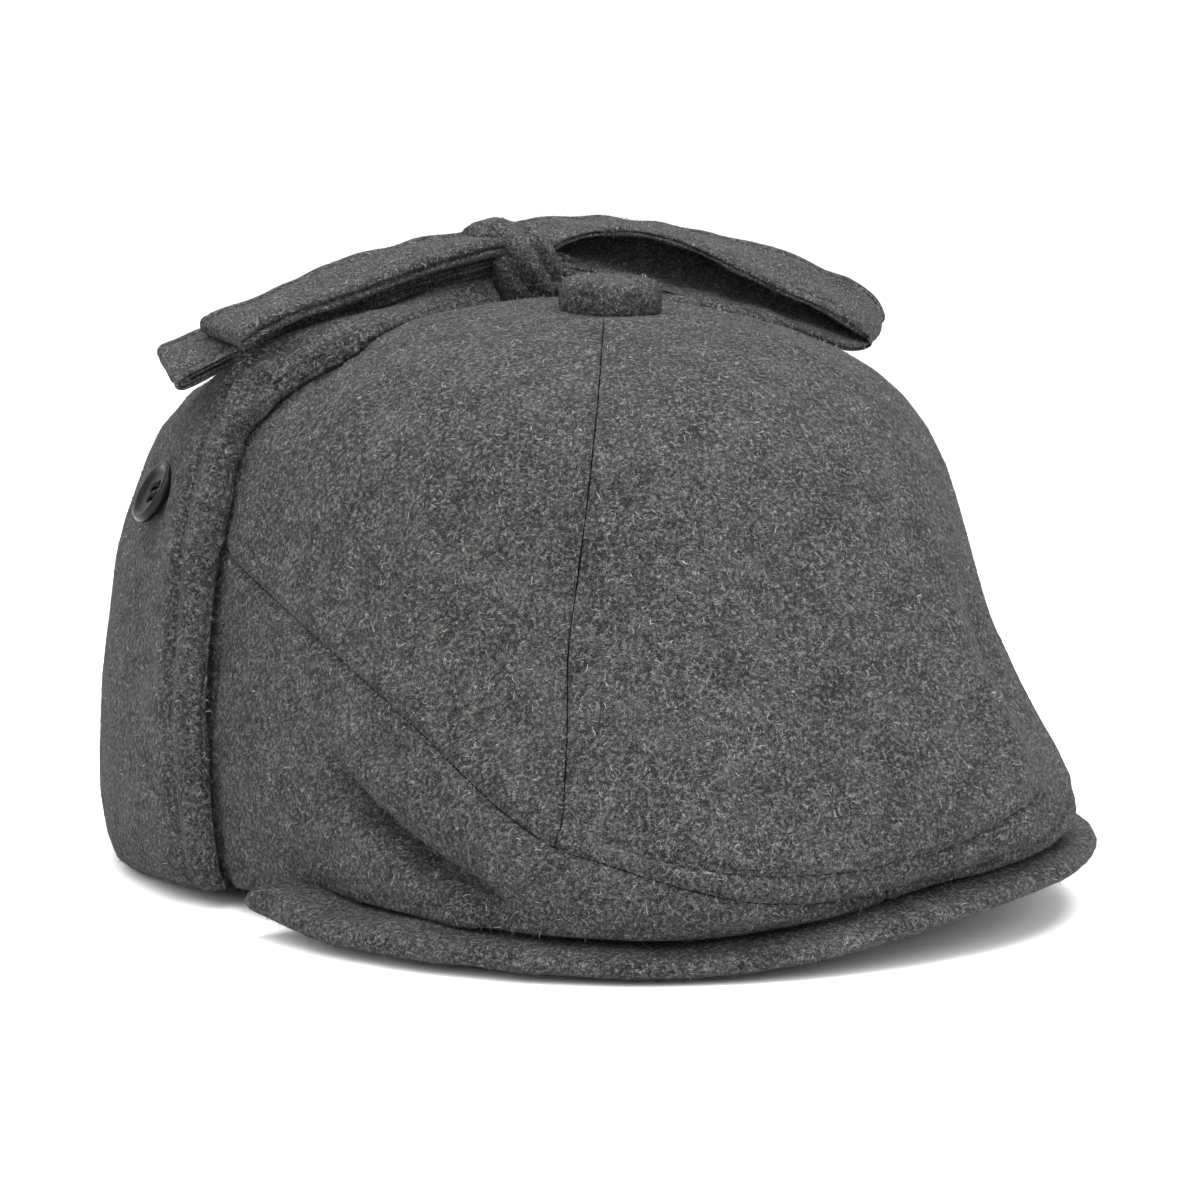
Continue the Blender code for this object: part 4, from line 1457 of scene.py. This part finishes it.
@dataclass
class Ribbon:
    """A tie's folded wool between its two edges, with stitched hems and square-cut ends.

    A belly is the sag of a loop's lower layer, largest half way back to the knot.
    """

    name: str
    front: Points
    back: Points
    hairs: int
    seed: int
    thick_mm: float
    belly_mm: float = 0.0
    pitch_mm: float = 1.3
    hair_mm: float = 1.6
    fill: float = 0.2
    slot: str = "tie_wool"

    def _section(self) -> Points:
        """Works out the hemmed half of the ribbon's section.

        Returns:
            Distance from the edge, outer height and inner height, in millimetres.
        """
        thick = self.thick_mm
        return [(1.6, -0.5 * thick, -0.5 * thick), (0.15, -0.42 * thick, -0.60 * thick),
                (0.0, -0.22 * thick, -0.78 * thick), (0.5, -0.02, -0.98 * thick),
                (1.2, 0.22, -thick), (2.1, 0.28, -thick), (2.8, 0.05, -thick),
                (3.3, -0.50, -thick), (3.8, -0.05, -thick), (5.0, 0.12, -thick),
                (7.5, 0.20, -thick)]

    def _edges(self) -> tuple[np.ndarray, np.ndarray]:
        """Samples both edges at the same shares of their lengths.

        Returns:
            The front edge and the back edge.
        """
        lines = [smooth_line(points, 0.4) for points in (self.front, self.back)]
        longest = max(travelled(line)[-1] for line in lines)
        shares = np.linspace(0.0, 1.0, max(2, int(longest / (self.pitch_mm * MM))))
        front, back = (read_off(shares, travelled(line) / travelled(line)[-1], line)
                       for line in lines)
        return front, back

    def _rings(self) -> list[list[np.ndarray]]:
        """Works out the places round the ribbon at each step along it.

        Returns:
            A ring of places for each step.
        """
        front, back = self._edges()
        across = back - front
        width = np.linalg.norm(across, axis=1)
        up = np.cross(across, np.gradient((front + back) / 2.0, axis=0))
        up /= np.linalg.norm(up, axis=1)[:, None]
        up *= np.sign(up[2, 2])
        returning = np.clip(np.linspace(-1.0, 1.0, len(front)), 0.0, 1.0)
        bellies = self.belly_mm * np.sin(math.pi * returning)
        half = self._section()
        rings = []
        for point, over, wide, normal, belly in zip(
                front, across / width[:, None], width, up, bellies):
            level = [(d * MM, a, b) for d, a, b in half]
            level += [(0.5 * wide, 0.25, -self.thick_mm)]
            level += [(wide - d * MM, a, b) for d, a, b in reversed(half)]
            bulges = [belly * math.sin(math.pi * d / wide) ** 2 for d, _, _ in level]
            outer = [point + over * d + normal * (a + bulge) * MM
                     for (d, a, _), bulge in zip(level, bulges)]
            inner = [point + over * d + normal * (b + bulge) * MM
                     for (d, _, b), bulge in zip(level, bulges)]
            rings.append(outer + inner[-2:0:-1])
        return rings

    def _faces(self, rings: int, size: int) -> list[tuple[int, ...]]:
        """Joins the rings into a closed skin with square-cut ends.

        Args:
            rings: How many rings there are.
            size: How many places a ring has.

        Returns:
            The faces.
        """
        faces = [(row * size + i, row * size + (i + 1) % size,
                  (row + 1) * size + (i + 1) % size, (row + 1) * size + i)
                 for row in range(rings - 1) for i in range(size)]
        last = (rings - 1) * size
        for i in range((size - 2) // 2):
            end = tuple(dict.fromkeys((i, i + 1, size - 1 - i, (size - i) % size)))
            faces += [end, tuple(last + k for k in reversed(end))]
        middle = size // 2
        return faces + [(middle - 1, middle, middle + 1),
                        (last + middle + 1, last + middle, last + middle - 1)]

    def build(self, finishes: Finishes, *stands_for: str) -> list[bpy.types.Object]:
        """Models the ribbon and dresses it.

        Args:
            finishes: The cap's finishes.
            *stands_for: The solids that the ribbon takes the place of.

        Returns:
            The ribbon and its hairs.
        """
        rings = self._rings()
        mesh = bpy.data.meshes.new(f"{self.name}_cloth")
        mesh.from_pydata([tuple(p) for ring in rings for p in ring], [],
                         self._faces(len(rings), len(rings[0])))
        piece = new_piece(mesh.name, mesh)
        with editing(piece):
            bpy.ops.mesh.normals_make_consistent(inside=False)
        apply_modifier(piece, "SUBSURF", levels=1, render_levels=1)
        places, normals = coordinates(piece)
        move = ripple(places, 0.7, 9.0, float(self.seed))
        places[:, 2] += ripple(places, 0.6, 26.0, self.seed + 0.5)
        put_back(piece, places + normals * move[:, None])
        dress(piece, finishes.tie_wool, self.slot, *stands_for)
        hair = Fuzz(f"{self.name}_hair", self.hairs, self.seed, length_mm=self.hair_mm)
        return [piece, hair.build(piece, finishes.hair, self.slot)]


@dataclass
class Bow:
    """The ties' bow: a knot, two loops and two loose ends of folded wool."""

    knot: str = "tie_knot"
    slot: str = "tie_wool"
    knot_levels: int = 3
    knot_rounds: int = 12
    knot_lean: float = -0.30
    knot_deeper: float = 1.18
    knot_hairs: int = 2200
    knot_hair_mm: float = 1.6
    fill: float = 0.2

    def _knot(self, cap: Cap) -> list[bpy.types.Object]:
        """Models the knot: its solid's copy, leaning, with the folds of the ties wound round.

        Args:
            cap: What the parts are made from.

        Returns:
            The knot's cloth and its hairs.
        """
        piece = worked_copy(cap.nodes[self.knot], f"{self.knot}_cloth", self.knot_levels,
                            self.knot_rounds)
        smooth = surface_of(piece)
        places, normals = coordinates(piece)
        move = ripple(places, 0.8, 11.0, 41.0)
        move += Crease(KNOT_FOLD_LOW, 1.3, 1.5, 0.5, 3.5).shift(places, smooth)
        move += Crease(KNOT_FOLD_HIGH, 1.1, 1.4, 0.4, 3.0).shift(places, smooth)
        places = places + normals * move[:, None]
        places[:, 0] += self.knot_lean * (places[:, 2] - places[:, 2].mean())
        back = places[:, 1].max()
        places[:, 1] = back + (places[:, 1] - back) * self.knot_deeper
        put_back(piece, places)
        dress(piece, cap.finishes.tie_wool, self.slot, self.knot)
        hair = Fuzz(f"{self.knot}_hair", self.knot_hairs, 41, length_mm=self.knot_hair_mm)
        return [piece, hair.build(piece, cap.finishes.hair, self.slot)]

    def build(self, cap: Cap) -> list[bpy.types.Object]:
        """Models the bow's parts and dresses them.

        Args:
            cap: What the parts are made from.

        Returns:
            The bow's pieces.
        """
        pieces = self._knot(cap)
        for ribbon in (
                Ribbon("bow_tail_right", TAIL_RIGHT_FRONT, TAIL_RIGHT_BACK, 5000, 42, 4.0),
                Ribbon("bow_tail_left", TAIL_LEFT_FRONT, TAIL_LEFT_BACK, 3500, 43, 2.8),
                Ribbon("bow_loop_right", LOOP_RIGHT_FRONT, LOOP_RIGHT_BACK, 7500, 44, 1.8),
                Ribbon("bow_loop_left", LOOP_LEFT_FRONT, LOOP_LEFT_BACK, 10500, 45, 1.9, 4.5)):
            pieces += ribbon.build(cap.finishes, ribbon.name)
        lobe = Ribbon(f"{self.knot}_lobe", LOBE_FRONT, LOBE_BACK, 700, 46, 5.5)
        return pieces + lobe.build(cap.finishes)


@dataclass
class TopButton:
    """The button on top: a domed form with wool drawn over it and gathered underneath."""

    node: str = "top_button"
    slot: str = "button_wool"
    levels: int = 2
    rounds: int = 14
    taller: float = 1.26
    sunk_mm: float = 0.7
    slope: float = 0.06
    gather_mm: float = 0.18
    gathers: int = 22
    hairs: int = 3000

    def build(self, cap: Cap) -> list[bpy.types.Object]:
        """Models the covered button over its solid, lets it down on the crown and dresses it.

        Args:
            cap: What the parts are made from.

        Returns:
            The button's cloth and its hairs.
        """
        piece = worked_copy(cap.nodes[self.node], f"{self.node}_cloth", self.levels, self.rounds)
        places, normals = coordinates(piece)
        low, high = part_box(self.node)
        middle_y = (low.y + high.y) / 2.0
        around = np.arctan2(places[:, 1] - middle_y, places[:, 0])
        height = (places[:, 2] - low.z) / (high.z - low.z)
        gathered = np.sin(around * self.gathers) * np.exp(-((height - 0.12) / 0.16) ** 2)
        move = self.gather_mm * MM * gathered + ripple(places, 0.35, 6.0, 8.0)
        places = places + normals * move[:, None]
        places[:, 2] = low.z + (places[:, 2] - low.z) * self.taller - self.sunk_mm * MM
        places[:, 2] += (places[:, 1] - middle_y) * self.slope
        put_back(piece, places)
        settle(piece, surface_of(cap.crown), 4.5, 0.05)
        dress(piece, cap.finishes.wool, self.slot, self.node)
        hair = Fuzz(f"{self.node}_hair", self.hairs, 51, length_mm=1.5, lift_mm=0.35,
                    standing=0.3)
        return [piece, hair.build(piece, cap.finishes.hair, self.slot)]


@dataclass
class FlapButton:
    """A sew-through button with a raised rim, a dished middle and four threaded holes."""

    side: Side
    radius_mm: float = 7.5
    thick_mm: float = 3.0
    hole_mm: float = 1.0
    hole_ring_mm: float = 2.0
    rounded_mm: float = 0.08
    thread_mm: float = 0.30
    thread_spread_mm: float = 0.28
    tilt_deg: float = 15.0
    turn_deg: float = 28.0
    sunk_mm: float = 2.0
    slot: str = "black_plastic"

    @property
    def node(self) -> str:
        """The button's solid."""
        return f"flap_button_{self.side.value}"

    def _blank(self) -> bpy.types.Object:
        """Turns the body by spinning its profile, and cuts its four holes through.

        Returns:
            The body, at the origin.
        """
        radius = self.radius_mm * MM
        thick = self.thick_mm * MM
        ring = self.hole_ring_mm * MM
        deselect()
        mesh = bpy.data.meshes.new(f"{self.node}_body")
        mesh.from_pydata([(r * radius, 0.0, z * thick) for r, z in BUTTON_PROFILE],
                         [(i, i + 1) for i in range(len(BUTTON_PROFILE) - 1)], [])
        body = new_piece(mesh.name, mesh)
        with editing(body):
            bpy.ops.mesh.spin(steps=56, angle=math.tau, center=(0, 0, 0), axis=(0, 0, 1))
            bpy.ops.mesh.select_all(action="SELECT")
            bpy.ops.mesh.remove_doubles(threshold=0.00001)
            bpy.ops.mesh.normals_make_consistent(inside=False)
        for turn in range(4):
            angle = math.radians(45.0 + 90.0 * turn)
            deselect()
            bpy.ops.mesh.primitive_cylinder_add(
                vertices=20, radius=self.hole_mm * MM, depth=4.0 * thick,
                location=(math.cos(angle) * ring, math.sin(angle) * ring, 0.0))
            drill = bpy.context.object
            apply_modifier(body, "BOOLEAN", object=drill, operation="DIFFERENCE")
            bpy.data.objects.remove(drill, do_unlink=True)
        apply_modifier(body, "BEVEL", width=self.rounded_mm * MM, segments=2,
                       angle_limit=math.radians(50.0))
        pick_up(body)
        bpy.ops.object.shade_smooth_by_angle(angle=math.radians(35.0))
        return body

    def _threads(self) -> bpy.types.Object:
        """Sews two bars of thread over the middle and down through the holes.

        Returns:
            The thread, at the origin.
        """
        curve = new_tube(f"{self.node}_thread", self.thread_mm, 2)
        top = 0.60 * self.thick_mm * MM
        high = top + 0.5 * MM
        reach = self.hole_ring_mm * MM * math.sqrt(0.5)
        half = [(-reach - 0.1 * MM, 0.1 * top), (-reach, 0.9 * top), (-0.6 * reach, high)]
        path = half + [(-out, height) for out, height in reversed(half)]
        for row in (-1.0, 1.0):
            for spread in (-self.thread_spread_mm, self.thread_spread_mm):
                spline = curve.splines.new("NURBS")
                spline.points.add(len(path) - 1)
                for point, (out, height) in zip(spline.points, path):
                    point.co = (out, row * reach + spread * MM, height, 1.0)
                spline.use_endpoint_u = True
                spline.order_u = 3
        return as_mesh(curve)

    def build(self, cap: Cap) -> list[bpy.types.Object]:
        """Models the button, sets it where its solid lies and threads it.

        Args:
            cap: What the parts are made from.

        Returns:
            The button's body and its thread.
        """
        places = np.array([v.co for v in cap.nodes[self.node].data.vertices])
        centre = places.mean(0)
        axis = np.linalg.svd(places - centre, full_matrices=False)[2][2]
        axis = axis * np.sign(axis[0] * centre[0])
        seat = centre + axis * (((places - centre) @ axis).min() - self.sunk_mm * MM)
        normal = Vector(axis)
        level = Vector((0.0, 0.0, 1.0)).cross(normal).normalized()
        normal.rotate(Quaternion(level, -math.radians(self.tilt_deg)))
        stands = Matrix((level, normal.cross(level), normal)).transposed().to_4x4()
        frame = Matrix.Translation(seat) @ stands @ Matrix.Rotation(
            math.radians(self.turn_deg), 4, "Z")
        body = self._blank()
        thread = self._threads()
        for piece in (body, thread):
            piece.data.transform(frame)
            piece.data.update()
        return [dress(body, cap.finishes.button, self.slot, self.node),
                dress(thread, cap.finishes.thread, self.slot)]


@dataclass
class Studio:
    """The floor, the soft lights and the camera at the photograph's angle."""

    azimuth: float = -31.3
    elevation: float = 7.5
    distance: float = 1.10
    lens: float = 147.42
    aim_right: float = -0.0024
    aim_height: float = 0.0645
    button_y: float = -0.01155
    floor_size: float = 60.0
    sky: float = 1.15
    lights: tuple[tuple[str, tuple[float, float, float], float, float], ...] = (
        ("top_light", (0.15, -0.15, 1.5), 1.4, 52.0),
        ("right_light", (-1.2, -0.8, 1.2), 1.8, 34.0),
        ("front_light", (0.9, -1.3, 0.9), 0.9, 6.0))

    def camera(self) -> None:
        """Sets the camera."""
        a = math.radians(self.azimuth)
        e = math.radians(self.elevation)
        back = Vector((math.sin(a) * math.cos(e), -math.cos(a) * math.cos(e), math.sin(e)))
        right = Vector((math.cos(a), math.sin(a), 0.0))
        aim = right * self.aim_right + Vector((0.0, self.button_y, self.aim_height))
        data = bpy.data.cameras.new("camera")
        data.lens = self.lens
        data.sensor_width = 36.0
        data.clip_end = 100.0
        camera = new_piece("camera", data)
        camera.location = aim + back * self.distance
        camera.rotation_euler = (-back).to_track_quat("-Z", "Y").to_euler()
        bpy.context.scene.camera = camera

    def floor(self) -> None:
        """Lays a wide pale floor."""
        deselect()
        bpy.ops.mesh.primitive_plane_add(size=self.floor_size)
        floor = bpy.context.object
        floor.name = "floor"
        with editing(floor):
            bpy.ops.mesh.subdivide(number_cuts=3)
        floor.data.materials.append(PaleFloor().build())

    def light(self, name: str, place: Vector, size: float, watts: float) -> None:
        """Adds a soft square light that faces the cap.

        Args:
            name: Its name.
            place: Where it hangs.
            size: Its width.
            watts: Its power.
        """
        data = bpy.data.lights.new(name, "AREA")
        data.shape = "SQUARE"
        data.size = size
        data.energy = watts
        lamp = new_piece(name, data)
        lamp.location = place
        lamp.rotation_euler = (Vector((0.0, 0.0, 0.05)) - place).to_track_quat("-Z", "Y").to_euler()

    def build(self) -> None:
        """Sets up the whole studio.

        The Standard view transform keeps the floor as white as the photograph's.
        """
        world = bpy.data.worlds.new("studio")
        world.use_nodes = True
        background = world.node_tree.nodes["Background"]
        background.inputs["Color"].default_value = linear("ffffff")
        background.inputs["Strength"].default_value = self.sky
        bpy.context.scene.world = world
        bpy.context.scene.view_settings.view_transform = "Standard"
        self.floor()
        for name, place, size, watts in self.lights:
            self.light(name, Vector(place), size, watts)
        self.camera()


def main() -> None:
    """Builds and dresses the cap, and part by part."""
    logging.basicConfig(level=logging.INFO, format="%(name)s: %(message)s")
    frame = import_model()
    Studio().build()
    cap = Cap(frame["nodes"], Finishes.make())
    for part in (Crown(), Peak(), EarFlap(Side.RIGHT), EarFlap(Side.LEFT), Bow(), TopButton(),
                 FlapButton(Side.RIGHT), FlapButton(Side.LEFT)):
        for piece in part.build(cap):
            log.info("%s: %d faces", piece.name, len(piece.data.polygons))
    deselect()


if __name__ == "__main__":
    main()
